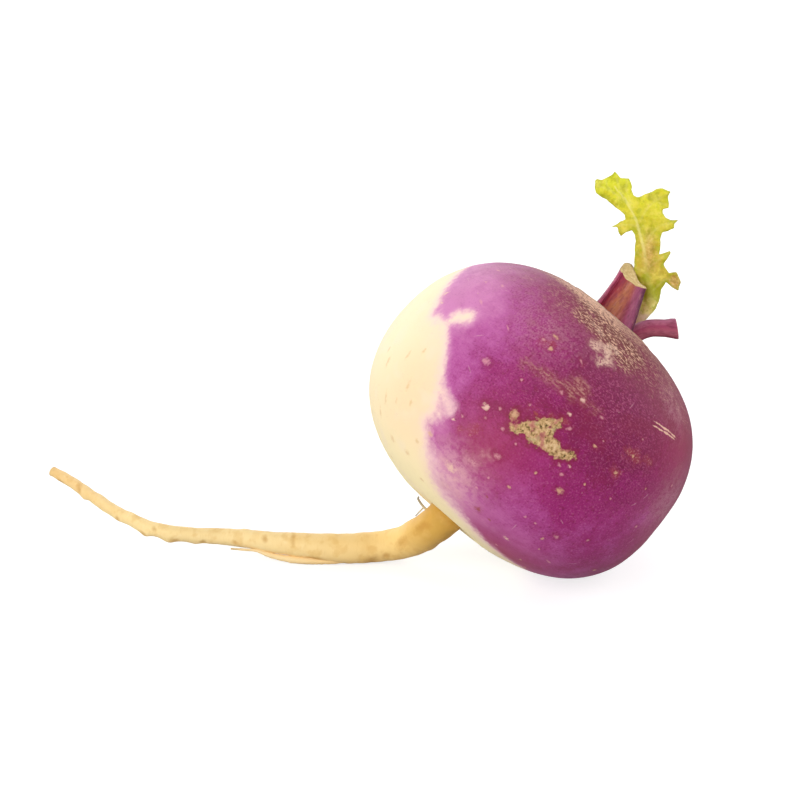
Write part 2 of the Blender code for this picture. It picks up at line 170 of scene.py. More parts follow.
# Small spots of each kind: latitude, longitude, half length, half height, and degrees turned if any.
TAN, PINK, CREAM, RED, LENTICEL, HAIR = 0.0, 1.0, 2.0, 3.0, 4.0, 5.0
SPOTS = {
    TAN: (
        (-6.7, -8.5, 0.9, 0.75), (21, -16, 0.7, 0.45), (17, -14.5, 0.5, 0.5), (-14.8, 20, 0.95, 0.65),
        (-16, 9, 0.35, 0.3), (-26, 7, 0.45, 0.35), (-32, 33, 0.4, 0.4), (1.1, 30, 0.5, 0.4), (3, 18, 0.6, 0.5),
        (9, 31, 0.35, 0.3), (-26, 68, 0.5, 0.4), (-8, 24, 0.3, 0.25), (-36, 38, 0.3, 0.3), (5, 45, 0.3, 0.25),
        (-48, 50, 0.5, 0.3), (-50, 66, 0.6, 0.4),
    ),
    PINK: (
        (-13, -15, 0.35, 0.3), (-8, -13, 0.4, 0.35), (1, 7.2, 0.75, 0.35, 45), (10.7, 13.5, 0.45, 0.3),
        (18, -17.5, 0.5, 0.4), (-1, -7, 0.55, 0.3), (6, 19, 0.3, 0.25), (15, 30, 0.35, 0.25),
        (-9.2, 12.8, 0.5, 0.4), (-11, 16.2, 0.5, 0.4), (-20, -4, 0.9, 0.6), (-27, 35, 0.7, 0.5),
        (-18, -22, 0.4, 0.3), (-6, 56, 0.45, 0.35), (-37, 50, 0.9, 0.3), (13, 58, 0.4, 0.3),
        (-12.9, -8.8, 0.5, 0.35), (-13, -2, 0.3, 0.3), (3, -14, 0.3, 0.3), (-30, 20, 0.3, 0.3),
        (-20, 44, 0.35, 0.3), (-34, -2, 0.4, 0.3), (-28, -1, 0.3, 0.3), (0.6, -27.5, 1.1, 0.7),
        (22, -54, 0.9, 0.45), (20.4, -3.3, 0.7, 0.25, -35), (8.4, -1.5, 0.45, 0.4), (22, -53.5, 0.8, 0.6),
        (16.8, -50.5, 1.4, 0.25, -50), (15, -46, 0.9, 0.3, -20), (30.4, -59.8, 0.9, 0.3),
        (13.8, -29.8, 0.8, 0.2, -30), (25, -47, 0.6, 0.4), (-29, 24, 0.3, 0.25), (-6, 36, 0.3, 0.25),
        (-52, 34, 0.5, 0.3),
    ),
    CREAM: (
        (-10.5, -16.5, 1.05, 0.8), (5, 4.5, 0.5, 0.35), (-7.3, 15.5, 0.4, 0.3), (-44, 27, 0.7, 0.5),
        (-35, -15, 1.35, 1.05), (-20, -23, 0.7, 0.3, 30), (11, 4.8, 0.55, 0.45), (10.7, -62.6, 0.9, 0.35, 60),
        (7.6, -59.6, 0.5, 0.35),
    ),
    RED: (
        (-2.2, -3.5, 0.7, 0.3), (-42, 13, 0.45, 0.35), (-42, 6, 0.9, 0.75), (-34, 4, 0.4, 0.3),
    ),
    LENTICEL: (
        (-19, -66, 0.5, 1.7), (-13, -55, 0.4, 1.3), (-30, -60, 0.5, 1.6), (-21, -48, 0.5, 1.4),
        (-43, -54, 1.1, 0.9), (-44, -41, 0.9, 0.7), (-26, -43, 0.5, 0.8), (-15, -69, 0.4, 0.7),
        (-36, -35, 0.6, 0.6), (-9, -50, 0.4, 0.9), (-36, -66, 0.5, 1.3), (-28, -52, 0.4, 0.7),
        (-52, -30, 0.9, 0.5), (-54, -70, 0.7, 0.6), (-48, -84, 0.6, 1), (-30, -29.5, 0.8, 0.6),
    ),
}
# Marks on the tap root: where along X, degrees round from the upper side to the front, half length, half width.
STAINS = (
    (-44.4, 125, 1.3, 1.5), (-37.2, 80, 1, 1.2), (-41, 110, 0.9, 0.9), (-32.5, 75, 1.8, 1.3),
    (-63.6, 25, 0.5, 2), (-58.5, 135, 2.4, 0.8), (-92.9, 130, 0.9, 0.9), (-107.8, 130, 0.6, 1),
    (-118.9, 60, 0.6, 1.4), (-101, 140, 1, 0.7), (-86, 120, 0.7, 0.6), (-98, 60, 0.5, 0.6), (-52, 150, 2, 0.7),
    (-70.5, 50, 0.6, 0.8), (-78, 100, 0.6, 0.6), (-124.5, 130, 0.8, 0.8),
)
# Bumps of old side roots: where along X, degrees round as above, rise, size.
KNOBS = (
    (-100.5, 150, 0.75, 1.3), (-94.5, 160, 0.65, 1.5), (-107.8, 140, 0.35, 0.9), (-117.5, 150, 0.35, 0.9),
    (-88, 170, 0.3, 1.2), (-63.6, 0, 0.3, 0.7), (-70, 10, 0.25, 0.9), (-75.5, 5, 0.3, 1.4),
    (-53.5, 5, 0.3, 0.8), (-44, 100, 0.2, 1), (-112, 10, 0.25, 1.4), (-104, -10, 0.3, 1.2),
    (-35.5, -20, 0.3, 1.2),
)
# The tap root's radius at those distances in mm along -X, to turn an angle round it into mm.
ROOT_GIRTH = (40, 60, 80, 130), (3.9, 3.1, 2.1, 1.4)
# The old leaf scars on the crown: how many, the first one's distance from the bud, the growth of it, the turn.
LEAF_SCARS, FIRST_SCAR, SCAR_STEP, SCAR_TURN = 12, 5.0, 0.8, math.radians(137.5)
FAR_SIDE_SPOTS, FAR_SIDE_DRAW = 60, 11


# ---------------------------------------------------------------- small tools

def turn_about(axis, angle):
    a, b = {"y": (2, 0), "z": (0, 1)}[axis]
    out = np.eye(3)
    out[a, a] = out[b, b] = math.cos(angle)
    out[b, a], out[a, b] = math.sin(angle), -math.sin(angle)
    return out


LYING = turn_about("z", HEADING) @ turn_about("y", LEAN) @ turn_about("z", SPIN)


def to_row(points):
    return points @ LYING.T + BODY_CENTRE


def to_own(points):
    return (np.asarray(points, float) - BODY_CENTRE) @ LYING


def smooth(value, low, high):
    """0 at low, 1 at high, and an even S between."""
    t = np.clip((value - low) / (high - low), 0.0, 1.0)
    return t * t * (3.0 - 2.0 * t)


def direction(latitude, longitude):
    latitude, longitude = np.radians(latitude), np.radians(longitude)
    return np.stack([
        np.cos(latitude) * np.cos(longitude),
        np.cos(latitude) * np.sin(longitude),
        np.sin(latitude) + 0 * longitude,
    ], -1)


def bell(outward, latitude, longitude, spread):
    """1 at that place of the skin, fading with the angle from it, in degrees."""
    angle = np.degrees(np.arccos(np.clip(outward @ direction(latitude, longitude), -1, 1)))
    return np.exp(-(angle / spread) ** 2)


def bells(outward, places):
    """The sum of bells, each given as latitude, longitude, height, spread."""
    return sum(height * bell(outward, *place, spread) for *place, height, spread in places)


def lumps(points, size, shift=0.0):
    """Smooth noise from about -1 to 1 at each point, with features of that size."""
    return np.array([noise.noise(p) for p in (points / size + shift).tolist()])


def curve_through(points, steps):
    """Points of a smooth open curve through the given ones, with that many steps to a span."""
    points = np.asarray(points, float)
    ends = np.vstack([2 * points[0] - points[1], points, 2 * points[-1] - points[-2]])
    t = (np.arange(steps) / steps)[:, None]
    out = []
    for a, b, c, d in zip(ends, ends[1:], ends[2:], ends[3:]):
        out.append(0.5 * (2 * b + (c - a) * t + (2 * a - 5 * b + 4 * c - d) * t ** 2
                          + (3 * b - a - 3 * c + d) * t ** 3))
    return np.vstack(out + [points[-1:]])


def distances(points):
    """How far along a line each of its points is."""
    return np.concatenate([[0], np.cumsum(np.linalg.norm(np.diff(points, axis=0), axis=1))])


def respaced(points, step=None, count=None):
    """The same curve with even spaces along its first three coordinates, and the distance to each point."""
    along = distances(points[:, :3])
    even = np.linspace(0, along[-1], count or max(2, round(along[-1] / step) + 1))
    return np.stack([np.interp(even, along, column) for column in points.T], -1), even


def round_angles(count):
    return 2 * math.pi * np.arange(count) / count


def circle(angles, side_a, side_b):
    return np.cos(angles)[:, None] * side_a + np.sin(angles)[:, None] * side_b


def carried_frames(middles, side_a, side_b, ahead):
    """Two side directions for each ring of a tube, turned as little as possible from one to the next."""
    sides = []
    side_a, side_b, ahead = Vector(side_a), Vector(side_b), Vector(ahead)
    for tangent in np.gradient(middles, axis=0):
        tangent = Vector(tangent).normalized()
        turn = ahead.rotation_difference(tangent)
        side_a, side_b, ahead = turn @ side_a, turn @ side_b, tangent
        sides.append((side_a.copy(), side_b.copy(), ahead.copy()))
    return np.array(sides)


def segment_distance(points, start, end):
    span = end - start
    t = np.clip((points - start) @ span / max(span @ span, 1e-12), 0, 1)
    return np.linalg.norm(points - start - t[:, None] * span, axis=1)


def as_quads(faces):
    """An array of the faces, where a triangle has its last corner twice."""
    return np.array([face if len(face) == 4 else (*face, face[2]) for face in faces])


def vertex_normals(points, faces):
    quads = as_quads(faces)
    across = np.cross(points[quads[:, 2]] - points[quads[:, 0]], points[quads[:, 3]] - points[quads[:, 1]])
    thin = quads[:, 2] == quads[:, 3]
    corner = points[quads[:, 0]]
    across[thin] = np.cross(points[quads[:, 1]] - corner, points[quads[:, 2]] - corner)[thin]
    out = np.zeros_like(points)
    for k in range(4):
        np.add.at(out, quads[:, k], across)
    return out / np.maximum(np.linalg.norm(out, axis=1, keepdims=True), 1e-12)


def facing_out(points, faces):
    """The faces, turned over if their volume comes out negative."""
    a, b, c, d = points[as_quads(faces).T]
    volume = np.sum(a * (np.cross(b, c) + np.cross(c, d)))
    return faces if volume > 0 else [face[::-1] for face in faces]


class Growth:
    """A piece in the making: rings of points with a value of each layer at every point, and faces, in mm."""

    def __init__(self):
        self.parts, self.faces, self.count = {}, [], 0

    def add(self, points, **values):
        """Adds points, with one number or one row each for every layer, and returns the first one's index."""
        points = np.atleast_2d(points)
        for label, value in {"points": points, **values}.items():
            value = np.full(len(points), float(value)) if np.ndim(value) == 0 else np.asarray(value, float)
            self.parts.setdefault(label, []).append(value)
        self.count += len(points)
        return self.count - len(points)

    def join(self, low, low_count, high, high_count, flip=False):
        """Faces between two rings whose counts are equal or one twice the other."""
        fine, coarse, over = (low, high, True) if low_count > high_count else (high, low, False)
        count = min(low_count, high_count)
        made = []
        for i in range(count):
            j = (i + 1) % count
            if low_count == high_count:
                made.append((low + i, low + j, high + j, high + i))
                continue
            a, b, c = fine + 2 * i, fine + 2 * i + 1, fine + (2 * i + 2) % (2 * count)
            three = [(a, b, coarse + i), (b, coarse + j, coarse + i), (b, c, coarse + j)]
            made += three if over else [face[::-1] for face in three]
        self.faces += [face[::-1] for face in made] if flip else made

    def fan(self, ring, count, tip, flip=False):
        made = [(tip, ring + i, ring + (i + 1) % count) for i in range(count)]
        self.faces += [face[::-1] for face in made] if flip else made

    def whole(self, *labels):
        """The points and the named layers, each in one array."""
        return [np.concatenate(self.parts[label]) for label in ("points", *labels)]


def add_piece(name, points, faces, layers, material, stands_for=()):
    """Makes a mesh in metres, facing outward, with its named layers, and rides it on the root body."""
    mesh = bpy.data.meshes.new(name)
    mesh.from_pydata((points * MM).tolist(), [], facing_out(points, faces))
    for label, values in layers.items():
        values = np.asarray(values, np.float32)
        kind, field = ("FLOAT", "value") if values.ndim == 1 else ("FLOAT_VECTOR", "vector")
        layer = mesh.attributes.new(label, kind, "POINT")
        layer.data.foreach_set(field, values.ravel())
    mesh.materials.append(material)
    mesh.shade_smooth()
    mesh.validate()
    piece = bpy.data.objects.new(name, mesh)
    bpy.context.scene.collection.objects.link(piece)
    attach(piece, "root")
    if stands_for:
        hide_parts(*stands_for)


# ---------------------------------------------------------------- materials

class Shader:
    """A material whose nodes are added by calls that return their output sockets."""

    def __init__(self, name, **constants):
        self.material = bpy.data.materials.new(name)
        self.material.use_nodes = True
        self.nodes = self.material.node_tree.nodes
        self.links = self.material.node_tree.links
        self.surface = self.nodes["Principled BSDF"]
        for label, value in constants.items():
            self.surface.inputs[label.replace("_", " ")].default_value = value

    def put(self, socket, value):
        if isinstance(value, bpy.types.NodeSocket):
            self.links.new(value, socket)
        elif isinstance(value, tuple) and len(value) == 3 and len(socket.default_value) == 4:
            socket.default_value = (*value, 1.0)
        else:
            socket.default_value = value

    def node(self, kind, *inputs, out=0, **settings):
        """Adds a node with those settings and first inputs, and returns one of its outputs."""
        node = self.nodes.new("ShaderNode" + kind)
        for label, value in settings.items():
            setattr(node, label, value)
        for socket, value in zip(node.inputs, inputs):
            self.put(socket, value)
        return node.outputs[out]

    def layer(self, name, out="Fac"):
        return self.node("Attribute", out=out, attribute_name=name)

    def math(self, operation, a, b=0.0):
        return self.node("Math", a, b, operation=operation)

    def most(self, a, b):
        return self.math("MAXIMUM", a, b)

    def size(self, a):
        return self.math("ABSOLUTE", a)

    def plus(self, a, b):
        return self.math("ADD", a, b)

    def times(self, *values):
        out = values[0]
        for value in values[1:]:
            out = self.math("MULTIPLY", out, value)
        return out

    def shaken(self, value, *waves):
        """The value moved by waves round 0.5: each a wave and its amount."""
        for wave, amount in zip(waves[::2], waves[1::2]):
            value = self.plus(value, self.times(self.plus(wave, -0.5), amount))
        return value

    def step(self, value, low, high, to=(0.0, 1.0)):
        """A smooth step from low to high; low may be above high."""
        return self.node("MapRange", value, low, high, *to, interpolation_type="SMOOTHSTEP")

    def scaled(self, coords, scale):
        return self.node("VectorMath", coords, scale, operation="MULTIPLY")

    def noise(self, coords, size, detail=2.0, rough=0.5):
        node = self.nodes.new("ShaderNodeTexNoise")
        for label, value in (("Vector", coords), ("Scale", 1.0 / size), ("Detail", detail), ("Roughness", rough)):
            self.put(node.inputs[label], value)
        return node.outputs[0]

    def cells(self, coords, size):
        node = self.nodes.new("ShaderNodeTexVoronoi")
        self.put(node.inputs["Vector"], coords)
        node.inputs["Scale"].default_value = 1.0 / size
        return node.outputs["Distance"]

    def mix(self, factor, a, b):
        node = self.nodes.new("ShaderNodeMix")
        node.data_type = "RGBA"
        for socket, value in ((0, factor), (6, a), (7, b)):
            self.put(node.inputs[socket], value)
        return node.outputs[2]

    def coats(self, colour, *coats):
        """The colour with coats of paint over it: each a paint, then factors; a tuple among them is a step."""
        for paint, *factors in coats:
            factors = [self.step(*factor) if isinstance(factor, tuple) else factor for factor in factors]
            colour = self.mix(self.times(*factors), colour, paint)
        return colour

    def ramp(self, value, stops):
        node = self.nodes.new("ShaderNodeValToRGB")
        self.put(node.inputs[0], value)
        elements = node.color_ramp.elements
        while len(elements) < len(stops):
            elements.new(0.5)
        for element, (position, colour) in zip(elements, stops):
            element.position = position
            element.color = (*colour, 1.0)
        return node.outputs[0]

    def finish(self, colour, roughness, height, depth):
        """Links the colour, the roughness and a bump of that depth in mm, and returns the material."""
        self.put(self.surface.inputs["Base Color"], colour)
        self.put(self.surface.inputs["Roughness"], roughness)
        bump = self.nodes.new("ShaderNodeBump")
        bump.inputs["Strength"].default_value = 1.0
        bump.inputs["Distance"].default_value = depth * MM
        self.put(bump.inputs["Height"], height)
        self.put(self.surface.inputs["Normal"], bump.outputs[0])
        return self.material


def skin_material():
    s = Shader("turnip_skin", IOR=1.38, Specular_IOR_Level=0.35, Sheen_Weight=0.06, Sheen_Roughness=0.45)
    own, swirl = s.layer("own", "Vector"), s.layer("swirl", "Vector")

    def run_round(squash, size, detail=2.0, rough=0.5, down=1.0):
        """Noise drawn out round the turnip's axis."""
        return s.noise(s.scaled(swirl, (squash, squash, down)), size, detail, rough)

    def patch(layer, low, high, amount=1.0):
        """A ragged patch round the strokes of a layer."""
        ragged = patchy if amount == 1.0 else s.times(patchy, amount)
        return s.step(s.plus(s.layer(layer), ragged), low, high)

    grain = s.noise(own, 0.45, 3.0, 0.62)
    speck = s.noise(own, 1.1, 2.0)
    mottle = s.noise(own, 1.9, 4.0, 0.6)
    cloud = s.noise(own, 4.2, 3.0)
    streak = run_round(0.4, 0.5, 3.0, 0.6)
    patchy = s.plus(s.times(s.plus(mottle, -0.5), 5.0), s.times(s.plus(grain, -0.5), 3.0))

    # Purple: pale and violet where it is thin, deep on the shoulder.
    fade, soft = s.layer("fade"), s.layer("soft")
    tint = s.shaken(s.layer("tint"), s.noise(own, 1.3, 4.0, 0.6), s.layer("feather"))
    blots = s.noise(own, 1.7, 5.0, 0.66)
    worn = s.plus(s.plus(s.times(run_round(0.3, 1.2, 3.0), 0.35), blots), -0.67)
    tint = s.plus(tint, s.times(worn, fade, 7.0))
    purple_part = s.step(tint, s.times(soft, -1.0), soft)
    depth = s.shaken(s.layer("depth"), s.noise(own, 9.0, 2.0), 0.6, cloud, 0.5)
    depth = s.plus(depth, s.plus(s.times(s.plus(mottle, -0.5), 0.5), s.times(s.plus(streak, -0.5), 0.3)))
    purple = s.ramp(s.plus(s.times(depth, 0.7), 0.2), (
        (0.0, (0.635, 0.21, 0.46)), (0.20, (0.515, 0.116, 0.362)), (0.39, (0.41, 0.060, 0.260)),
        (0.60, (0.325, 0.021, 0.160)), (0.77, (0.280, 0.011, 0.128)), (0.90, (0.245, 0.008, 0.104)),
        (1.0, (0.205, 0.007, 0.074)),
    ))
    hatch, hatched = s.layer("hatch"), run_round(0.8, 0.30, 3.0, 0.65)
    purple = s.coats(
        purple,
        ((0.15, 0.005, 0.05), (grain, 0.48, 0.28), (depth, -0.1, 0.5, (0.16, 0.72))),
        ((0.60, 0.19, 0.35), (grain, 0.53, 0.74), 0.38),
        ((0.20, 0.006, 0.04), (speck, 0.56, 0.70), (depth, 0.2, 0.6), 0.4),
        ((0.33, 0.022, 0.072), s.layer("warm"), 0.6),
        ((0.78, 0.36, 0.56), (tint, 2.0, 0.2), 0.4),
        ((0.12, 0.004, 0.028), (hatched, 0.48, 0.36), hatch, 0.7),
        ((0.54, 0.15, 0.24), (hatched, 0.54, 0.64), hatch, 0.36),
        # A pale greyish-pink cast near the limbs: partly dust, partly painted sheen.
        ((0.55, 0.27, 0.33), s.layer("dust_and_sheen"), (s.shaken(grain, mottle, 0.8), 0.36, 0.62, (0.15, 0.6))),
        ((0.78, 0.42, 0.47), fade, (s.shaken(blots, mottle, 0.6), 0.36, 0.64, (0.16, 0.86))),
    )

    # Cream, blushing towards the purple.
    # Lightest towards the root side: painted light on the lower body.
    cream = s.ramp(s.layer("root_side"), (
        (0.0, (0.95, 0.81, 0.53)), (0.55, (0.97, 0.80, 0.50)), (1.0, (1.0, 0.86, 0.51)),
    ))
    cream = s.coats(
        cream,
        ((0.92, 0.67, 0.41), s.layer("tanned"), 0.8),
        ((0.93, 0.77, 0.45), (mottle, 0.48, 0.72), 0.3),
        ((0.84, 0.70, 0.42), (streak, 0.58, 0.74), 0.2),
        ((0.94, 0.78, 0.60), (s.noise(own, 6.0, 1.0), 0.5, 0.7), 0.3),
        ((0.91, 0.63, 0.54), (s.layer("tint"), -7.5, 0.0), (soft, 0.8, 3.5, (0.2, 0.7))),
        ((0.94, 0.62, 0.66), (tint, -3.0, -0.3), 0.5),
    )
    colour = s.mix(purple_part, cream, purple)
    colour = s.coats(
        colour,
        ((0.74, 0.42, 0.38), patch("blush", 1.4, -1.4, 1.2), (grain, 0.40, 0.60, (0.3, 1.0)), 0.55),
        ((0.20, 0.008, 0.042), patch("bruise", 1.6, -1.6, 1.2), purple_part, 0.5),
    )

    # Corky russet round the crown: a brown cast, and short flecks that run round it.
    russet, rim = s.layer("russet"), s.layer("rim")
    scurf = s.most(patch("scurf", 2.4, -1.4), rim)
    flecks = s.step(s.plus(run_round(0.8, 0.38, 3.0, 0.55), s.times(rim, 0.13)), 0.515, 0.58)
    many = s.most(s.times(s.step(s.shaken(russet, mottle, 1.6), 0.3, 1.1), 0.38), scurf)
    colour = s.coats(
        colour,
        ((0.232, 0.038, 0.061), russet, purple_part, 0.7),
        ((0.19, 0.060, 0.042), scurf, 0.8),
        (s.mix(speck, (0.96, 0.62, 0.42), (0.66, 0.36, 0.26)), flecks, many, 0.92),
        ((0.10, 0.012, 0.022), (run_round(1.0, 0.5, 2.0, down=1.3), 0.45, 0.33), s.most(russet, scurf), 0.6),
    )

    # Tiny pale dots on the purple, rubbed streaks over a brownish cast, a bald patch, and rusty specks.
    dots = s.step(s.shaken(s.cells(own, 1.7), grain, 0.2), 0.16, 0.05)
    net_part = patch("net", 1.5, -1.4)
    net = s.step(s.shaken(run_round(0.3, 0.5, 4.0, 0.68), grain, 0.7), 0.42, 0.68)
    rust_part = patch("rust", 1.2, -1.4, 1.3)
    colour = s.coats(
        colour,
        ((0.72, 0.36, 0.40), dots, (s.noise(own, 2.3, 1.0), 0.60, 0.68), purple_part, 0.3),
        ((0.24, 0.048, 0.055), net_part, 0.55),
        ((0.60, 0.31, 0.24), net_part, net, 0.58),
        ((0.70, 0.46, 0.355), patch("pale", 1.0, -1.0), (s.shaken(grain, speck, 0.5), 0.38, 0.58, (0.12, 0.92))),
        ((0.34, 0.05, 0.05), rust_part, 0.5),
        ((0.66, 0.33, 0.26), rust_part, (grain, 0.52, 0.66), 0.7),
    )

    # The scab: tan cork with olive pits and a dark reddish edge, which is partly its own colour and partly painted
    # shadow along the raised crust's rim.
    edge = s.shaken(s.layer("scab"), s.noise(own, 1.5, 3.0, 0.55), 3.6)
    cork = s.ramp(s.noise(own, 0.74, 3.0, 0.58), (
        (0.32, (0.075, 0.055, 0.018)), (0.40, (0.24, 0.14, 0.055)), (0.47, (0.45, 0.28, 0.12)),
        (0.57, (0.58, 0.365, 0.18)), (0.70, (0.69, 0.49, 0.28)),
    ))
    cork = s.coats(
        cork,
        ((0.42, 0.12, 0.12), (s.noise(own, 1.9, 2.0), 0.50, 0.62), 0.7),
        ((0.33, 0.30, 0.13), (s.noise(own, 2.6, 2.0), 0.44, 0.34), 0.5),
    )
    scab = s.step(edge, 0.35, -0.25)
    # The dark reddish ring round the scab: partly its own colour, partly painted shadow at the crust's rim.
    colour = s.coats(colour, ((0.20, 0.010, 0.03), (edge, 1.6, 0.2), 0.6), (cork, scab))

    # Small separate spots, each with its own kind: the ramps go from one kind to the next.
    kind = s.layer("spot_kind")
    ragged = s.shaken(s.node("VectorMath", s.layer("spot", "Vector"), out="Value", operation="LENGTH"),
                      s.noise(own, 0.6, 3.0), 2.4)
    ring = s.times(s.step(ragged, 3.0, 1.4), s.step(kind, 3.6, 3.2), s.step(depth, 0.15, 0.5), 0.3)
    sort = s.times(kind, 0.2)
    spot_colour = s.ramp(sort, (
        (0.0, (0.66, 0.38, 0.23)), (0.2, (0.72, 0.33, 0.36)), (0.4, (0.82, 0.52, 0.42)),
        (0.6, (0.32, 0.06, 0.04)), (0.8, (0.74, 0.48, 0.20)), (1.0, (0.70, 0.40, 0.46)),
    ))
    strength = s.ramp(sort, [(k / 5, (value,) * 3) for k, value in enumerate((0.8, 0.6, 0.85, 0.75, 0.5, 0.4))])
    colour = s.coats(
        colour,
        ((0.23, 0.012, 0.045), ring, purple_part),
        (spot_colour, (ragged, 1.4, 0.2), strength),
    )

    # The pair of scratches.
    at, off, beyond = s.node("SeparateXYZ", s.layer("scratch", "Vector"), out=slice(None))
    off = s.size(s.plus(off, s.times(s.plus(s.noise(own, 3.0, 2.0), -0.5), 0.5)))
    aside = s.size(s.plus(off, s.plus(-0.40, s.times(at, 0.12))))
    width = s.plus(s.shaken(0.20, speck, 0.5), s.times(s.size(at), -0.14))
    scratch = s.step(s.plus(aside, s.times(width, -1.0)), 0.10, -0.08)
    ends = s.step(s.shaken(s.size(at), mottle, 1.2), 1.1, 0.8)
    scratch = s.times(scratch, ends, s.step(beyond, 0.5, 0.1), s.step(grain, 0.3, 0.5, (0.35, 0.9)))

    # The crown's corky floor and the old leaf scars.
    crown = s.step(s.shaken(s.layer("crown"), speck, 0.9), 0.25, 0.7)
    bark = s.ramp(s.noise(swirl, 0.9, 3.0), (
        (0.32, (0.28, 0.12, 0.09)), (0.5, (0.52, 0.33, 0.20)), (0.66, (0.68, 0.50, 0.33)),
    ))
    bark = s.coats(
        bark,
        ((0.30, 0.055, 0.10), (s.noise(own, 3.2, 2.0), 0.50, 0.62), 0.6),
        ((0.42, 0.40, 0.13), (s.noise(own, 4.6, 1.0), 0.52, 0.62), 0.5),
    )
    scar = s.layer("scar")
    scar_colour = s.ramp(scar, (
        (0.0, (0.20, 0.08, 0.05)), (0.35, (0.24, 0.11, 0.06)), (0.7, (0.56, 0.38, 0.22)), (1.0, (0.64, 0.47, 0.30)),
    ))
    colour = s.coats(
        colour,
        ((0.84, 0.52, 0.38), scratch),
        (bark, crown, 0.9),
        (scar_colour, (scar, 0.05, 0.25), 0.85),
    )

    # The tap root. Its first 18 mm darken to brown towards the body: painted shadow under the body.
    along = s.layer("along")
    root = s.ramp(s.times(along, 1 / TAP_ROOT_LENGTH), (
        (0.0, (0.54, 0.29, 0.042)), (0.06, (0.74, 0.44, 0.10)), (0.14, (0.90, 0.61, 0.22)),
        (0.28, (0.91, 0.65, 0.28)), (0.45, (0.92, 0.69, 0.33)), (0.7, (0.93, 0.70, 0.33)),
        (0.9, (0.88, 0.60, 0.26)), (1.0, (0.78, 0.51, 0.20)),
    ))
    root = s.coats(
        root,
        ((0.70, 0.42, 0.13), (streak, 0.55, 0.75), 0.2),
        ((0.82, 0.52, 0.17), (cloud, 0.5, 0.7), 0.25),
        ((0.95, 0.76, 0.44), (mottle, 0.52, 0.72), (along, 25.0, 60.0), 0.3),
        ((0.70, 0.38, 0.075), (s.noise(own, 3.0, 3.0), 0.50, 0.66), 0.3),
        ((0.54, 0.25, 0.035), (s.shaken(s.layer("stain"), mottle, 2.6), 1.9, 0.0), 0.6),
    )
    colour = s.coats(colour, (root, (s.shaken(along, speck, 0.8), -1.8, 0.3)))

    corky = s.most(scab, s.most(crown, s.times(russet, 0.5)))
    rough = s.plus(s.plus(0.46, s.times(grain, 0.16)), s.times(corky, 0.25))
    height = s.plus(s.times(grain, 0.5), s.times(flecks, many, 0.6))
    height = s.plus(height, s.times(s.plus(s.times(net_part, net), s.times(scratch, -1.0)), 0.5))
    height = s.plus(height, s.times(scab, s.noise(own, 0.5, 2.0), 1.5))
    return s.finish(colour, rough, height, 0.06)


def stalk_material(name, stops):
    """Cut stalk: a colour band across it, with painted shade and a painted highlight in the large stalk's band,
    fibres along it, and a pale cut end.
    """
    s = Shader(name, IOR=1.42)
    own, fibre_way = s.layer("own", "Vector"), s.layer("fibre", "Vector")
    fibres = s.noise(fibre_way, 0.5, 3.0, 0.6)
    cloud = s.noise(fibre_way, 2.2, 3.0)
    blotch = s.noise(s.scaled(fibre_way, (1.0, 1.0, 2.2)), 1.1, 3.0, 0.6)
    flesh = s.ramp(s.noise(own, 0.7, 3.0, 0.6), (
        (0.3, (0.52, 0.36, 0.15)), (0.5, (0.68, 0.49, 0.22)), (0.7, (0.80, 0.64, 0.36)),
    ))
    flesh = s.coats(flesh, ((0.52, 0.30, 0.18), (s.cells(own, 0.9), 0.24, 0.12), 0.45))
    colour = s.coats(
        s.ramp(s.shaken(s.layer("across"), cloud, 0.06), stops),
        ((0.12, 0.010, 0.035), (fibres, 0.48, 0.3), 0.45),
        ((0.58, 0.20, 0.26), (fibres, 0.54, 0.76), 0.25),
        ((0.20, 0.016, 0.05), (blotch, 0.50, 0.34), 0.5),
        ((0.58, 0.22, 0.21), (blotch, 0.54, 0.70), 0.3),
        ((0.52, 0.28, 0.16), (s.shaken(s.layer("up"), cloud, 0.25), 0.22, 0.02), 0.45),
        (flesh, (s.layer("cut"), 0.35, 0.6)),
    )
    return s.finish(colour, s.plus(0.40, s.times(fibres, 0.2)), fibres, 0.08)


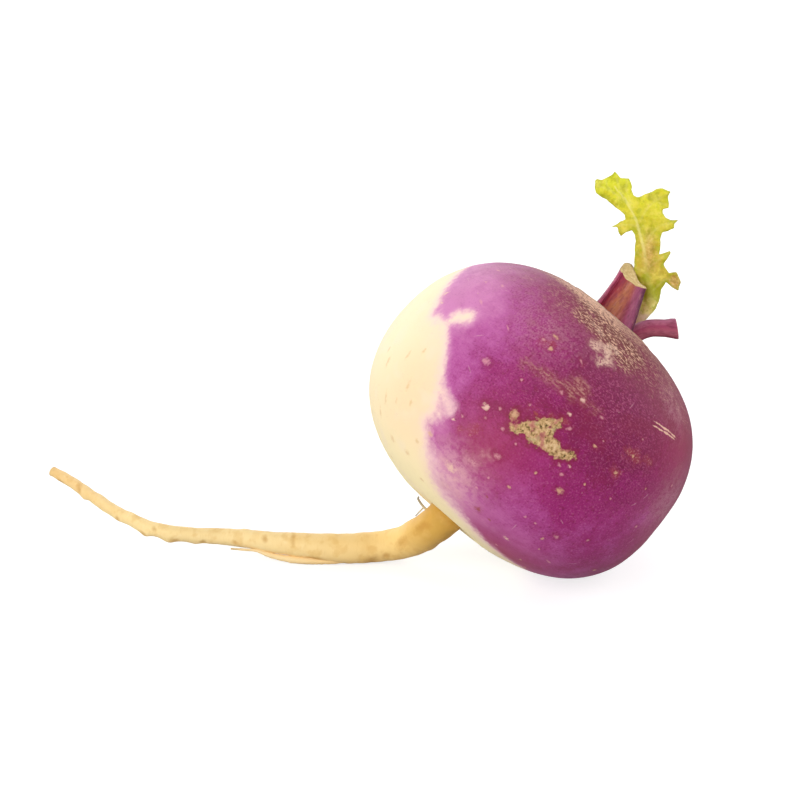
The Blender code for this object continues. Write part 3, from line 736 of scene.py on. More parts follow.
def leaf_material():
    s = Shader("young_leaf", IOR=1.42, Specular_IOR_Level=0.35, Subsurface_Weight=0.25, Subsurface_Scale=0.001,
               Subsurface_Radius=(0.8, 1.0, 0.2))
    own, up = s.layer("own", "Vector"), s.layer("up")
    fine, cloud, blotch = s.noise(own, 0.55, 3.0, 0.6), s.noise(own, 2.4, 3.0), s.noise(own, 1.7, 3.0, 0.55)
    # The pale foot at the first two stops is the petiole's own cream, made lighter as painted light against the
    # shade that the large stalk casts on it.
    blade = s.ramp(s.shaken(up, cloud, 0.3), (
        (0.0, (1.0, 0.85, 0.52)), (0.10, (0.94, 0.82, 0.30)), (0.22, (0.50, 0.43, 0.04)),
        (0.38, (0.57, 0.42, 0.042)), (0.60, (0.58, 0.50, 0.030)), (0.80, (0.69, 0.63, 0.028)),
        (1.0, (0.70, 0.71, 0.026)),
    ))
    dry = s.ramp(s.plus(s.times(fine, 0.5), s.times(blotch, 0.5)), (
        (0.38, (0.42, 0.22, 0.05)), (0.5, (0.62, 0.38, 0.12)), (0.62, (0.80, 0.56, 0.26)),
    ))
    olive = s.mix(fine, (0.28, 0.29, 0.002), (0.50, 0.50, 0.005))
    blade = s.coats(
        blade,
        ((0.76, 0.64, 0.13), (cloud, 0.5, 0.70), 0.5),
        # Painted shade: darker olive in the valleys of the crumpled blade.
        ((0.42, 0.40, 0.02), (s.layer("fold"), 0.46, 0.12), 0.5),
        ((0.42, 0.42, 0.006), (blotch, 0.49, 0.36), 0.6),
        ((0.84, 0.71, 0.12), (blotch, 0.54, 0.66), 0.4),
        ((0.36, 0.34, 0.008), (fine, 0.46, 0.3), 0.2),
        ((0.86, 0.75, 0.20), (fine, 0.56, 0.72), 0.2),
        (dry, (s.shaken(s.layer("tan"), cloud, 0.5), 0.2, 0.9), 0.8),
        (olive, (s.shaken(s.layer("olive"), cloud, 0.5), 0.25, 0.8), 0.85),
        ((0.84, 0.76, 0.32), s.layer("vein"), 0.55),
        ((0.80, 0.58, 0.42), (s.shaken(up, cloud, 0.08), 0.09, 0.03), 0.8),
        # Darker green along the margins: partly the margins' own green, partly painted shade.
        ((0.40, 0.42, 0.02), (s.shaken(s.layer("rim"), blotch, 1.6), 0.7, 0.1), 0.4),
    )
    return s.finish(blade, s.plus(0.44, s.times(fine, 0.2)), s.plus(s.times(fine, 0.6), cloud), 0.1)


def rootlet_material():
    s = Shader("rootlet", IOR=1.42)
    up, streak = s.layer("up"), s.noise(s.layer("own", "Vector"), 0.6, 3.0)
    hair = s.ramp(s.shaken(up, streak, 0.4), (
        (0.0, (0.70, 0.52, 0.24)), (0.5, (0.66, 0.58, 0.38)), (1.0, (0.30, 0.25, 0.17)),
    ))
    tan = s.ramp(up, (
        (0.0, (0.84, 0.56, 0.22)), (0.5, (0.92, 0.68, 0.34)), (0.9, (0.90, 0.66, 0.34)), (1.0, (0.62, 0.42, 0.18)),
    ))
    return s.finish(s.mix(s.layer("side_root"), hair, tan), s.plus(0.5, s.times(streak, 0.15)), streak, 0.05)


# ---------------------------------------------------------------- the swollen root and its tap root

def girth(tilt):
    return BODY_RADIUS * np.abs(np.cos(tilt)) ** (2 / ROUNDNESS)


def skin_points(tilt, longitude):
    """Points of the swollen root in the own frame; tilt is +90 degrees at the crown."""
    height = np.where(tilt > 0, CROWN_HEIGHT, ROOT_HEIGHT)
    rise = np.sign(tilt) * height * np.abs(np.sin(tilt)) ** (2 / ROUNDNESS)
    points = np.stack([girth(tilt) * np.cos(longitude), girth(tilt) * np.sin(longitude), rise], -1)
    outward = points / np.linalg.norm(points, axis=-1, keepdims=True)
    swelling = [(*place, SWELLING_SPREAD) for place in SWELLINGS]
    points += outward * bells(outward, swelling)[..., None]
    across = np.hypot(points[..., 0], points[..., 1])
    z = points[..., 2]
    upper = CROWN_FLOOR + (z - CROWN_FLOOR) * smooth(across, CROWN_FLOOR_RADIUS, CROWN_WELL_RADIUS)
    lower = ROOT_FLOOR + (z - ROOT_FLOOR) * smooth(across, ROOT_FLOOR_RADIUS, ROOT_WELL_RADIUS)
    points[..., 2] = np.where(z > 0, upper, lower)
    return points


def even_tilts():
    """Tilts of rings an even step apart along the skin, from near the crown's middle to the tap root."""
    tilts = np.radians(np.linspace(89.9999, -89.9999, 20001))
    line = skin_points(tilts, np.zeros_like(tilts))
    end = np.argmax((line[:, 2] < 0) & (girth(tilts) < ROOT_FLOOR_RADIUS))
    along = distances(np.stack([np.hypot(line[:, 0], line[:, 1]), line[:, 2]], -1))[:end]
    even = np.linspace(0, along[-1], round(along[-1] / SKIN_STEP) + 1)[1:]
    return np.interp(even, along, tilts[:end]), even


def tap_root_line():
    """The tap root's middles, radii, frames and distances along it, in the own frame."""
    own = np.array([(*to_own(station[:3]), station[3]) for station in TAP_ROOT])
    stations = np.vstack([(0, 0, ROOT_FLOOR, ROOT_FLOOR_RADIUS), own])
    line, along = respaced(curve_through(stations, 24), ROOT_STEP)
    sides = carried_frames(line[:, :3], (1, 0, 0), (0, 1, 0), (0, 0, -1))
    return line[:, :3], line[:, 3], sides, along


def build_skin():
    tilts, downs = even_tilts()
    skin, rings = Growth(), []
    skin.add((0, 0, CROWN_FLOOR), swirl=[(0, 0, 0)], along=-99.0, around=0.0)
    for tilt, down in zip(tilts, downs):
        count = next(count for least, count in RING_COUNTS if girth(tilt) >= least)
        east = round_angles(count)
        ring = skin_points(np.full(count, tilt), east)
        swirl = np.column_stack([ring[:, :2] * SWIRL_WIDTH, np.full(count, down)])
        rings.append((skin.add(ring, swirl=swirl, along=down - downs[-1], around=east), count))
    body_total = skin.count

    middles, widths, sides, along = tap_root_line()
    for i in range(1, len(middles)):
        count = TAP_ROOT_COUNTS[int(along[i] >= TAP_ROOT_START)]
        angles = round_angles(count)
        ring = circle(angles, sides[i, 0], sides[i, 1])
        flat = widths[i] * SWIRL_WIDTH * np.stack([np.cos(angles), np.sin(angles)], -1)
        swirl = np.column_stack([flat, np.full(count, downs[-1] + along[i])])
        # Around: from the tap root's upper side towards the viewer's side.
        up = to_row(ring) - BODY_CENTRE
        start = skin.add(middles[i] + widths[i] * ring, swirl=swirl, along=along[i],
                         around=np.arctan2(-up[:, 1], up[:, 2]))
        rings.append((start, count))
    tip = skin.add(middles[-1] + sides[-1, 2] * 0.25, swirl=swirl[:1], along=along[-1], around=0.0)

    skin.fan(1, rings[0][1], 0)
    for low, high in zip(rings, rings[1:]):
        skin.join(*low, *high)
    skin.fan(*rings[-1], tip, flip=True)
    own, swirl, along, around = skin.whole("swirl", "along", "around")
    faces = facing_out(own, skin.faces)
    on_body = np.arange(len(own)) < body_total
    layers = skin_layers(own, swirl, along, around, on_body)
    points = to_row(own + vertex_normals(own, faces) * skin_relief(own, swirl, layers, on_body)[:, None])
    points[:, 2] = np.maximum(points[:, 2], 0.0)
    add_piece("turnip_skin", points, faces, layers, skin_material(), ("turnip_root",))


def stroke_layer(own, outward, strokes, far=6.0):
    """Signed distance in mm to a set of strokes drawn on the skin, cut off at far."""
    best = np.full(len(own), far)
    for *ends, half in strokes:
        start, end = (own[np.argmax(outward @ direction(*place))] for place in (ends[:2], ends[2:]))
        best = np.minimum(best, segment_distance(own, start, end) - half)
    return best


def spot_layers(own, outward, spots):
    """For each point, the way to its nearest spot in units of the spot's size, and that spot's kind."""
    offset = np.tile(NOWHERE, (len(own), 1))
    kinds, nearest, second = np.zeros(len(own)), np.full(len(own), 99.0), np.full(len(own), 99.0)
    for kind, latitude, longitude, half_long, half_high, *turn in spots:
        middle = own[np.argmax(outward @ direction(latitude, longitude))]
        away = own - middle
        reach = np.linalg.norm(away, axis=1)
        east = direction(0, longitude + 90)
        north = np.cross(middle / np.linalg.norm(middle), east)
        for angle in np.radians(turn):
            east, north = (east * math.cos(angle) + north * math.sin(angle),
                           north * math.cos(angle) - east * math.sin(angle))
        near = reach < nearest
        second = np.where(near, nearest, np.minimum(second, reach))
        kinds[near], nearest[near] = kind, reach[near]
        way = np.stack([away @ east / half_long, away @ north / half_high, 0 * kinds], -1)
        within = reach < 0.9 + 1.5 * max(half_long, half_high)
        offset[near] = np.where(within[:, None], way, NOWHERE)[near]
    # A gap between the zones of two spots, so that nothing false is drawn where one gives way to the other.
    between = (second - nearest < 1.5 * SKIN_STEP) & (np.linalg.norm(offset, axis=1) > 1.0)
    offset[between] = NOWHERE
    return offset, kinds


def scratch_layer(own, outward):
    """Along and aside from the middle of the pair of scratches, along in half lengths and aside in mm."""
    start, end = (own[np.argmax(outward @ direction(*place))] for place in SCRATCH)
    middle, half = (start + end) / 2, np.linalg.norm(end - start) / 2
    way = (end - start) / (2 * half)
    aside = np.cross(middle / np.linalg.norm(middle), way)
    along, off = (own - middle) @ way / half, (own - middle) @ aside
    near = (np.abs(along) < 1.6) & (np.abs(off) < 2.5) & (own @ middle > 0)
    return np.where(near[:, None], np.stack([along, off, 0 * off], -1), NOWHERE)


def described_spots():
    """Every spot and fine scratch of the seen side, with its kind first."""
    for kind, rows in SPOTS.items():
        yield from ((kind, *row) for row in rows)
    for latitude, longitude, half, turn in HAIRS:
        yield HAIR, latitude, longitude, half, HAIR_HALF_WIDTH, turn


def far_side_spots():
    """Spots for the sides that no one has described: scattered evenly, by a fixed draw."""
    draw = np.random.default_rng(FAR_SIDE_DRAW)
    spots = []
    while len(spots) < FAR_SIDE_SPOTS:
        way = draw.normal(size=3)
        way /= np.linalg.norm(way)
        length, height, kind = draw.uniform(0.4, 0.9), draw.uniform(0.35, 0.6), draw.integers(0, 3)
        if way[0] > -0.05 or abs(way[2]) > 0.85:
            continue
        purple = way @ TINT_NORMAL * 36 > TINT_OFFSET
        spots.append((
            float(kind) if purple else LENTICEL, math.degrees(math.asin(way[2])),
            math.degrees(math.atan2(way[1], way[0])), length if purple else length * 1.5, height,
        ))
    return spots


def root_marks(x, around, marks):
    """For each mark on the tap root: how far each point is from it along X and round, and its two numbers."""
    for at, degrees, *numbers in marks:
        turned = np.abs((around - math.radians(degrees) + math.pi) % (2 * math.pi) - math.pi)
        yield x - at, turned * np.interp(-x, *ROOT_GIRTH), *numbers


def scar_layer(own):
    """1 on the old leaf scars, which stand in a spiral round the bud: crescents that open towards it."""
    scar = np.zeros(len(own))
    for k in range(LEAF_SCARS):
        distance, angle = FIRST_SCAR + SCAR_STEP * k, SCAR_TURN * k
        x, y = math.cos(angle), math.sin(angle)
        outwards = own[:, 0] * x + own[:, 1] * y - distance
        sideways = own[:, 1] * x - own[:, 0] * y
        away = np.hypot(outwards + 0.09 * sideways ** 2, sideways / 2.9)
        scar = np.maximum(scar, smooth(away, 1.15, 0.75))
    return scar * (own[:, 2] > 0)


def skin_layers(own, swirl, along, around, on_body):
    outward = own / np.linalg.norm(own, axis=1, keepdims=True)
    outward[~on_body] = (0, 0, -1)
    latitude = np.degrees(np.arcsin(outward[:, 2]))
    longitude = np.degrees(np.arctan2(outward[:, 1], outward[:, 0]))
    radius, upper = np.hypot(own[:, 0], own[:, 1]), own[:, 2] > 0

    def beside(east, spread):
        """1 at that longitude, fading with the angle from it."""
        return np.exp(-(np.abs((longitude - east + 180) % 360 - 180) / spread) ** 2)

    tint = own @ TINT_NORMAL - TINT_OFFSET + bells(outward, TINT_LOBES)
    tint = np.maximum(tint, -stroke_layer(own, outward, TINT_SPUR, 40.0))
    tint = np.minimum(tint, stroke_layer(own, outward, TINT_NOTCH, 40.0))

    russet = smooth(latitude, 20, 42) * (0.35 + 0.55 * beside(4, 45))
    russet += 0.06 * smooth(latitude, -10, 25) + bells(outward, RUSSET)
    russet = np.clip(russet + 0.16 * lumps(own, 8.0, 9.1) + 0.1 * lumps(own, 3.0, 1.1), 0, 1)
    offset, kinds = spot_layers(own, outward, [*described_spots(), *far_side_spots()])

    x = to_row(own)[:, 0]
    stain, knob = np.full(len(own), FAR), np.zeros(len(own))
    for ahead, off, half_long, half_wide in root_marks(x, around, STAINS):
        stain = np.where(on_body, stain, np.minimum(stain, np.hypot(ahead / half_long, off / half_wide)))
    for ahead, off, rise, size in root_marks(x, around, KNOBS):
        knob += np.where(on_body, 0.0, rise * np.exp(-(ahead ** 2 + off ** 2) / size ** 2))

    far = np.where(on_body, 0.0, 99.0)
    return {
        "own": own, "swirl": swirl, "along": along, "tint": tint,
        "depth": tint / 30 + 0.10 * lumps(own, 12.0, 2.2) - bells(outward, THIN_PURPLE),
        "soft": 0.75 + bells(outward, SOFT) + 0.3 * (lumps(own, 9.0) + 1),
        "feather": 2.6 + 1.2 * lumps(own, 6.0, 3.3) + bells(outward, FRAYED),
        "warm": bells(outward, WARM), "dust_and_sheen": bells(outward, DUST_AND_SHEEN), "hatch": bells(outward, HATCHED) * on_body,
        "fade": bell(outward, -39.5, -15, 12), "tanned": bell(outward, -22, -42, 20),
        # Towards the root side the cream is made lighter as painted light.
        "root_side": smooth(latitude, -5, -60), "russet": russet * on_body,
        "crown": smooth(radius + 0.6 * lumps(own, 1.8), 19.2, 17.4) * upper * on_body,
        # The tan rim: thick flecks on the crown's edge, on the side where the large stalk stands.
        "rim": smooth(radius, 27.5, 23) * (0.25 + 0.75 * beside(-24, 36)) * upper * on_body,
        "scar": scar_layer(own) * on_body, "stain": stain, "knob": knob,
        "scratch": scratch_layer(own, outward) + far[:, None], "spot": offset + far[:, None], "spot_kind": kinds,
        **{name: stroke_layer(own, outward, strokes) + far for name, strokes in STROKES.items()},
    }


def skin_relief(own, swirl, layers, on_body):
    """How far the skin stands out of its smooth shape at each point, in mm."""
    body, root = on_body.astype(float), 1.0 - on_body
    relief = body * (0.22 * lumps(own, 17.0) + 0.07 * lumps(own, 5.0, 4.0))
    # Growth lines round both ends, and fine ones all over.
    ends = smooth(np.hypot(own[:, 0], own[:, 1]), 26, 8)
    relief += body * ends * 0.16 * lumps(swirl * (0.25, 0.25, 1.0), 1.5)
    relief += body * 0.02 * lumps(swirl, 1.4, 7.0)
    # Scab: a raised crust with pits.
    scab = smooth(layers["scab"] + 1.2 * lumps(own, 1.6), 0.5, -0.8)
    relief += scab * (0.16 + 0.22 * lumps(own, 1.1, 2.0))
    spots = smooth(np.linalg.norm(layers["spot"], axis=1), 1.2, 0.3)
    relief += 0.1 * spots + 0.08 * smooth(layers["net"] + lumps(own, 1.5, 3.0), 1.0, -1.0) * lumps(own, 1.0)
    # Crown: cushions under the scars, corky rings between them.
    relief += layers["scar"] * 0.35 + layers["crown"] * 0.25 * lumps(own, 1.6, 5.0)
    # Tap root: a crease where it starts, ring-like wrinkles, bumps of old side roots.
    along = layers["along"]
    relief -= 0.5 * np.exp(-(along / 0.8) ** 2)
    relief += root * 0.12 * lumps(swirl * (0.4, 0.4, 1.0), 3.1, 1.0) * smooth(along, 0, 4)
    relief += root * 0.13 * lumps(own, 2.6, 6.0) + root * 0.035 * lumps(swirl * (0.5, 0.5, 1.0), 0.9, 8.0)
    relief += layers["knob"] - root * 0.12 * smooth(layers["stain"], 1.3, 0.3)
    return relief


# ---------------------------------------------------------------- cut stalks

STALK_FOOT = 27.7
CUT_HEIGHT = 42.5
CUT_SLOPE = -0.75
# Large stalk's section (front, side) in mm: its front from left to right, then its hollow back.
FOOT_FRONT = (
    (0, -7.2), (1.2, -7.25), (2.3, -6.6), (2.9, -5.7), (2.5, -4.95), (3.4, -4.2), (4.4, -2.8), (4.2, -0.8),
    (4.3, 1.2), (4.9, 2.9), (4.2, 4.6), (2.6, 5.7), (0.9, 6.4),
)
TOP_FRONT = (
    (0.6, -7.9), (1.5, -7.95), (2.2, -7.6), (2.5, -7.2), (2.25, -6.8), (2.8, -6.3), (3.3, -5.3), (3.05, -4.3),
    (2.8, -3.5), (2.8, -2.6), (2.1, -1.7), (1.4, -0.8), (0.6, 0.05),
)
FOOT_BACK = (
    (0, -7.2), (-1.6, -6.2), (-0.4, -4.6), (0.9, -2.6), (1.2, 0.2), (0.6, 3), (-0.1, 5.4), (0.9, 6.4),
)
TOP_BACK = (
    (0.6, -7.9), (-1.5, -7.8), (-2.9, -6.5), (-2.2, -5.1), (-0.8, -3.9), (0.3, -2.7), (0.6, -1.6), (0.3, -0.6),
    (0.6, 0.05),
)
STALK_ROWS = 56
CAP_ROWS = 8
# Colours across each stalk: the large one from left to right, the small one from its upper to its lower side.
# On the large one the darkest stops at both ends are painted shade on its shadowed left edge and right side, and
# the lighter stop at 0.22 is a painted highlight on its left flange's crest.
LARGE_STALK_STOPS = (
    (0.0, (0.05, 0.010, 0.045)), (0.05, (0.13, 0.012, 0.06)), (0.10, (0.36, 0.040, 0.12)),
    (0.22, (0.46, 0.065, 0.15)), (0.30, (0.24, 0.008, 0.030)), (0.37, (0.31, 0.014, 0.040)),
    (0.44, (0.40, 0.070, 0.050)), (0.53, (0.45, 0.150, 0.058)), (0.64, (0.39, 0.090, 0.062)),
    (0.74, (0.33, 0.050, 0.12)), (0.86, (0.30, 0.050, 0.14)), (0.94, (0.12, 0.010, 0.05)),
    (1.0, (0.055, 0.006, 0.03)),
)
SMALL_STALK_STOPS = (
    (0.0, (0.38, 0.12, 0.22)), (0.25, (0.46, 0.12, 0.21)), (0.42, (0.36, 0.045, 0.12)),
    (0.55, (0.40, 0.065, 0.13)), (0.75, (0.44, 0.11, 0.17)), (1.0, (0.24, 0.03, 0.07)),
)


def build_large_stalk():
    front = [curve_through(line, 6) for line in (FOOT_FRONT, TOP_FRONT)]
    count = len(front[0])
    back = [respaced(curve_through(line, 8), count=count)[0] for line in (FOOT_BACK, TOP_BACK)]
    share = np.linspace(0, 1, count)
    across = np.concatenate([share, share[::-1][1:-1]])
    is_back = np.arange(len(across)) >= count
    foot, top = (np.vstack([f, b[::-1][1:-1]]) for f, b in zip(front, back))
    size = len(across)
    top_z = CUT_HEIGHT + CUT_SLOPE * top[:, 0]
    stalk = Growth()
    for t in np.linspace(0, 1, STALK_ROWS):
        flat = foot + (top - foot) * t
        # The left edge sweeps in above the foot, and the right one a little.
        flat[:, 1] += 4 * t * (1 - t) * (0.8 * smooth(across, 0.35, 0.0) - 0.15 * smooth(across, 0.7, 1.0))
        ring = np.column_stack([flat, STALK_FOOT + (top_z - STALK_FOOT) * t])
        start = stalk.add(ring, up=t, cut=0.5 if t == 1 else 0.0, across=across, back=is_back)
        if start:
            stalk.join(start - size, size, start, size)
    # Caps at both ends, each a grid between the front and the back.
    walls = stalk.whole()[0]
    inside = np.repeat((np.arange(CAP_ROWS) + 1) / (CAP_ROWS + 1), count - 2)
    for base, at_top in ((0, False), (start, True)):
        front_ids = np.arange(count) + base
        back_ids = np.concatenate([[base], base + size - 1 - np.arange(count - 2), [base + count - 1]])
        near, far = (np.tile(walls[ids[1:-1]], (CAP_ROWS, 1)) for ids in (front_ids, back_ids))
        inner = near + (far - near) * inside[:, None]
        if at_top:
            inner[:, 2] -= 0.35 * np.sin(math.pi * inside) + 0.1 * lumps(inner, 0.8)
        first = stalk.add(inner, up=at_top, cut=at_top, across=np.tile(share[1:-1], CAP_ROWS), back=inside)
        rows = np.arange(len(inner)).reshape(CAP_ROWS, -1) + first
        lines = [front_ids, *([base, *row, base + count - 1] for row in rows), back_ids]
        for near, far in zip(lines, lines[1:]):
            for corners in zip(near, near[1:], far[1:], far):
                face = tuple(dict.fromkeys(int(corner) for corner in corners))
                if len(face) > 2:
                    stalk.faces.append(face if at_top else face[::-1])
    points, up, cut, across, back = stalk.whole("up", "cut", "across", "back")
    relief = 0.07 * lumps(points * (1, 1, 0.12), 0.8) + 0.12 * lumps(points * (1, 1, 0.4), 2.5, 3.0)
    relief *= (cut < 0.4) * smooth(up, 0.0, 0.1)
    # The brown face narrows towards the cut, and the hollow back is dark.
    tinted = np.where(back > 0.5, 0.08, across - 0.6 * (up - 0.35) * across * (1 - across))
    layers = {"own": points, "fibre": points * (1.0, 1.0, 0.16), "across": tinted, "up": up, "cut": cut}
    points = points + vertex_normals(points, stalk.faces) * relief[:, None]
    material = stalk_material("large_stalk_skin", LARGE_STALK_STOPS)
    add_piece("large_stalk", to_row(points), stalk.faces, layers, material, ("large_cut_stalk",))


SMALL_ROUTE = (
    (-3.2, 4.4, 27.7), (-3.2, 4.5, 28.6), (-3.2, 4.9, 31.8), (-3.2, 6.9, 35.8), (-3.2, 9.4, 38.2),
    (-3.2, 12, 40.3),
)
SMALL_HALF_FRONT = 1.5
SMALL_HALF_SIDE = 2.15
SMALL_COUNT = 64


def build_small_stalk():
    middles, along = respaced(curve_through(SMALL_ROUTE, 12), 0.3)
    tangents = np.gradient(middles, axis=0)
    tangents /= np.linalg.norm(tangents, axis=1, keepdims=True)
    angles = round_angles(SMALL_COUNT)
    # A shallow channel along the front, and a ridge on either side of it.
    wave = 1.0 - 0.20 * np.exp(-((angles / 0.45) ** 2)) - 0.20 * np.exp(-(((angles - 2 * math.pi) / 0.45) ** 2))
    wave += 0.05 * np.cos(5 * angles)
    front = np.array((1.0, 0.0, 0.0))
    stalk, rings = Growth(), []
    for middle, tangent, t in zip(middles, tangents, along / along[-1]):
        side = np.cross(tangent, front)
        side /= np.linalg.norm(side)
        flare = 1.0 + 0.16 * smooth(t, 0.8, 1.0) + 0.12 * smooth(t, 0.25, 0.0)
        ring = (front * (SMALL_HALF_FRONT * np.cos(angles) * wave * flare)[:, None]
                + side * (SMALL_HALF_SIDE * np.sin(angles) * flare)[:, None])
        # The cut is slanted: its lower side sticks out further.
        slant = 0.5 * np.sin(angles) * smooth(t, 0.6, 1.0)
        rings.append(middle + ring + tangent * slant[:, None])
        start = stalk.add(rings[-1], up=t, cut=0.5 if t == 1 else 0.0, around=angles)
        if start:
            stalk.join(start - SMALL_COUNT, SMALL_COUNT, start, SMALL_COUNT)
    # End caps: rings that shrink to the middle.
    for end, previous, at_top in ((0, 0, False), (-1, start, True)):
        middle = rings[end].mean(0)
        for share in (0.9, 0.7, 0.45, 0.2):
            shrunk = middle + (rings[end] - middle) * share - tangents[end] * (0.25 * (1 - share) * at_top)
            start = stalk.add(shrunk, up=at_top, cut=at_top, around=angles)
            stalk.join(previous, SMALL_COUNT, start, SMALL_COUNT, not at_top)
            previous = start
        tip = stalk.add(middle - tangents[end] * (0.22 * at_top), up=at_top, cut=at_top, around=0.0)
        stalk.fan(previous, SMALL_COUNT, tip, not at_top)
    points, up, cut, around = stalk.whole("up", "cut", "around")
    fibre = np.stack([np.cos(around) * 1.6, np.sin(around) * 1.6, up * along[-1] * 0.16], -1)
    layers = {"own": points, "fibre": fibre, "across": (1 + np.sin(around)) / 2, "up": up, "cut": cut}
    points = points + vertex_normals(points, stalk.faces) * (0.09 * lumps(points, 1.4, 2.0) * (cut < 0.4))[:, None]
    material = stalk_material("small_stalk_skin", SMALL_STALK_STOPS)
    add_piece("small_stalk", to_row(points), stalk.faces, layers, material, ("small_cut_stalk",))


# ---------------------------------------------------------------- young leaf

LEAF_FOOT = np.array((22.8, 14.6, 58.9))
LEAF_LEAN = math.radians(20)
LEAF_ACROSS = np.array((1.0, 0.0, 0.0))
LEAF_UP = np.array((0.0, math.sin(LEAF_LEAN), math.cos(LEAF_LEAN)))
LEAF_FORWARD = np.array((0.0, -math.cos(LEAF_LEAN), math.sin(LEAF_LEAN)))
# The outline across and up, in mm, from its stalk's foot round the blade and back.
LEAF_OUTLINE = (
    (-10.6, -6.4), (-6.1, -2.2), (-3.6, 0.6), (-2.7, 3), (-2.6, 5.6), (-3.4, 7.4), (-4.2, 9), (-4.5, 10.4),
    (-4.3, 11.3), (-4.4, 14.8), (-4.1, 16.7), (-4.3, 18.3), (-5, 19.5), (-6.5, 18.9), (-7.7, 18), (-8.4, 19.1),
    (-8.6, 20.2), (-9.9, 20.3), (-8.6, 20.9), (-7.7, 21.6), (-6.5, 22.1), (-6.6, 23.2), (-7.9, 24.3),
    (-9.3, 25.6), (-10.8, 26.9), (-12.4, 27.8), (-13.6, 28.5), (-13.7, 30), (-13.6, 31.6), (-13.1, 32),
    (-11.9, 31.8), (-10.7, 32.3), (-9.6, 32.9), (-8.7, 33.9), (-8.1, 33.2), (-7.5, 32.3), (-6.3, 32.2),
    (-5.3, 32.2), (-5, 31.1), (-4.6, 30), (-4.9, 29.3), (-4.5, 27.9), (-3.4, 27.5), (-1.8, 28.2), (0, 28.8),
    (0.8, 29.4), (2.4, 29.5), (3.5, 29), (4.4, 28.8), (3.7, 27.6), (4.1, 25.9), (3.8, 24.8), (2.5, 24.5),
    (2.4, 23.7), (3, 22.4), (4.1, 21.9), (6.1, 21.9), (5.2, 21), (5, 19.9), (3.6, 19.2), (2.2, 18.9),
    (1.8, 17.5), (1.7, 15.9), (1.6, 13.7), (2.8, 14), (4.1, 14.6), (4.3, 14), (3.4, 12.7), (2.6, 11.3),
    (2.8, 10.7), (3.8, 9.3), (5.6, 9.4), (6.8, 7.1), (6.3, 5.1), (5, 5.7), (4, 6.5), (3.3, 7.2), (2.9, 6.5),
    (2.2, 5.5), (2, 3.4), (1.2, 0.9), (-3.4, -4.3), (-8.4, -8.4),
)
# Its rib: across, up, half width, rise over the blade.
LEAF_RIB = (
    (-9.4, -7.6, 1.55, 1.05), (-4.5, -3.2, 1.55, 1.05), (-0.8, -0.3, 1.5, 1.0), (-0.2, 3.0, 1.4, 0.9),
    (-1.2, 8.0, 0.8, 0.5), (-2.2, 15.0, 0.5, 0.32), (-3.9, 22.0, 0.38, 0.22), (-6.4, 27.0, 0.28, 0.14),
    (-9.0, 30.2, 0.2, 0.08),
)
LEAF_VEINS = (
    ((-2.8, 20.0), (-5.6, 20.8), (-8.8, 20.4)), ((-4.6, 25.0), (-9.0, 28.4), (-12.8, 30.4)),
    ((-6.3, 27.4), (-7.8, 30.0), (-8.4, 33.0)), ((-3.0, 21.6), (-0.6, 25.4), (3.6, 28.3)),
    ((-2.0, 16.6), (1.4, 20.2), (5.2, 21.4)), ((-0.9, 10.6), (1.8, 12.6), (3.8, 14.2)),
    ((0.1, 5.0), (3.0, 7.6), (6.0, 7.2)), ((-5.2, 26.0), (-6.0, 29.5), (-5.8, 31.8)),
    ((0.4, 26.4), (2.2, 26.0), (3.4, 25.6)), ((-9.6, 28.8), (-10.6, 30.2), (-10.9, 31.6)),
    ((-1.2, 12.0), (-2.8, 13.4), (-4.0, 14.2)), ((-0.6, 8.2), (-2.2, 9.6), (-4.0, 10.4)),
)
LEAF_CELL = 0.36
LEAF_HALF = 0.17
# Dry tan spots, then olive places: across, up, strength, spread across, spread up.
LEAF_TAN = ((5.6, 7.4, 1.1, 1.7, 2.6), (-0.6, 14.0, 0.75, 2.2, 5.5))
LEAF_OLIVE = ((0.4, 4.6, 1.0, 3.4, 2.3), (-1.6, 8.0, 0.8, 1.6, 1.6))


def leaf_grid():
    """Points and triangles of the flat leaf, an even grid inside its outline, and the outline's points."""
    loop = np.array(LEAF_OUTLINE)
    rim = respaced(np.vstack([loop, loop[:1]]), LEAF_CELL)[0][:-1]
    rim = rim + 0.10 * np.stack([lumps(flat_in_space(rim), 1.1, shift) for shift in (0.0, 5.0)], -1)
    low, high = rim.min(0), rim.max(0)
    rows = enumerate(np.arange(low[1], high[1], LEAF_CELL * 0.87))
    grid = np.array([(x, y) for row, y in rows
                     for x in np.arange(low[0] + (row % 2) * LEAF_CELL / 2, high[0], LEAF_CELL)])
    grid = grid[line_distance(grid, rim, True) > LEAF_CELL * 0.6]
    ends = [(i, (i + 1) % len(rim)) for i in range(len(rim))]
    made = geometry.delaunay_2d_cdt([Vector(p) for p in np.vstack([rim, grid])], ends, [], 1, 1e-5)
    return np.array([tuple(v) for v in made[0]]), [tuple(face) for face in made[2]], rim


def flat_in_space(flat):
    return np.hstack([flat, 0 * flat[:, :1]])


def line_distance(points, line, closed=False):
    ends = np.roll(line, -1, axis=0) if closed else line[1:]
    return np.min([segment_distance(points, a, b) for a, b in zip(line, ends)], axis=0)


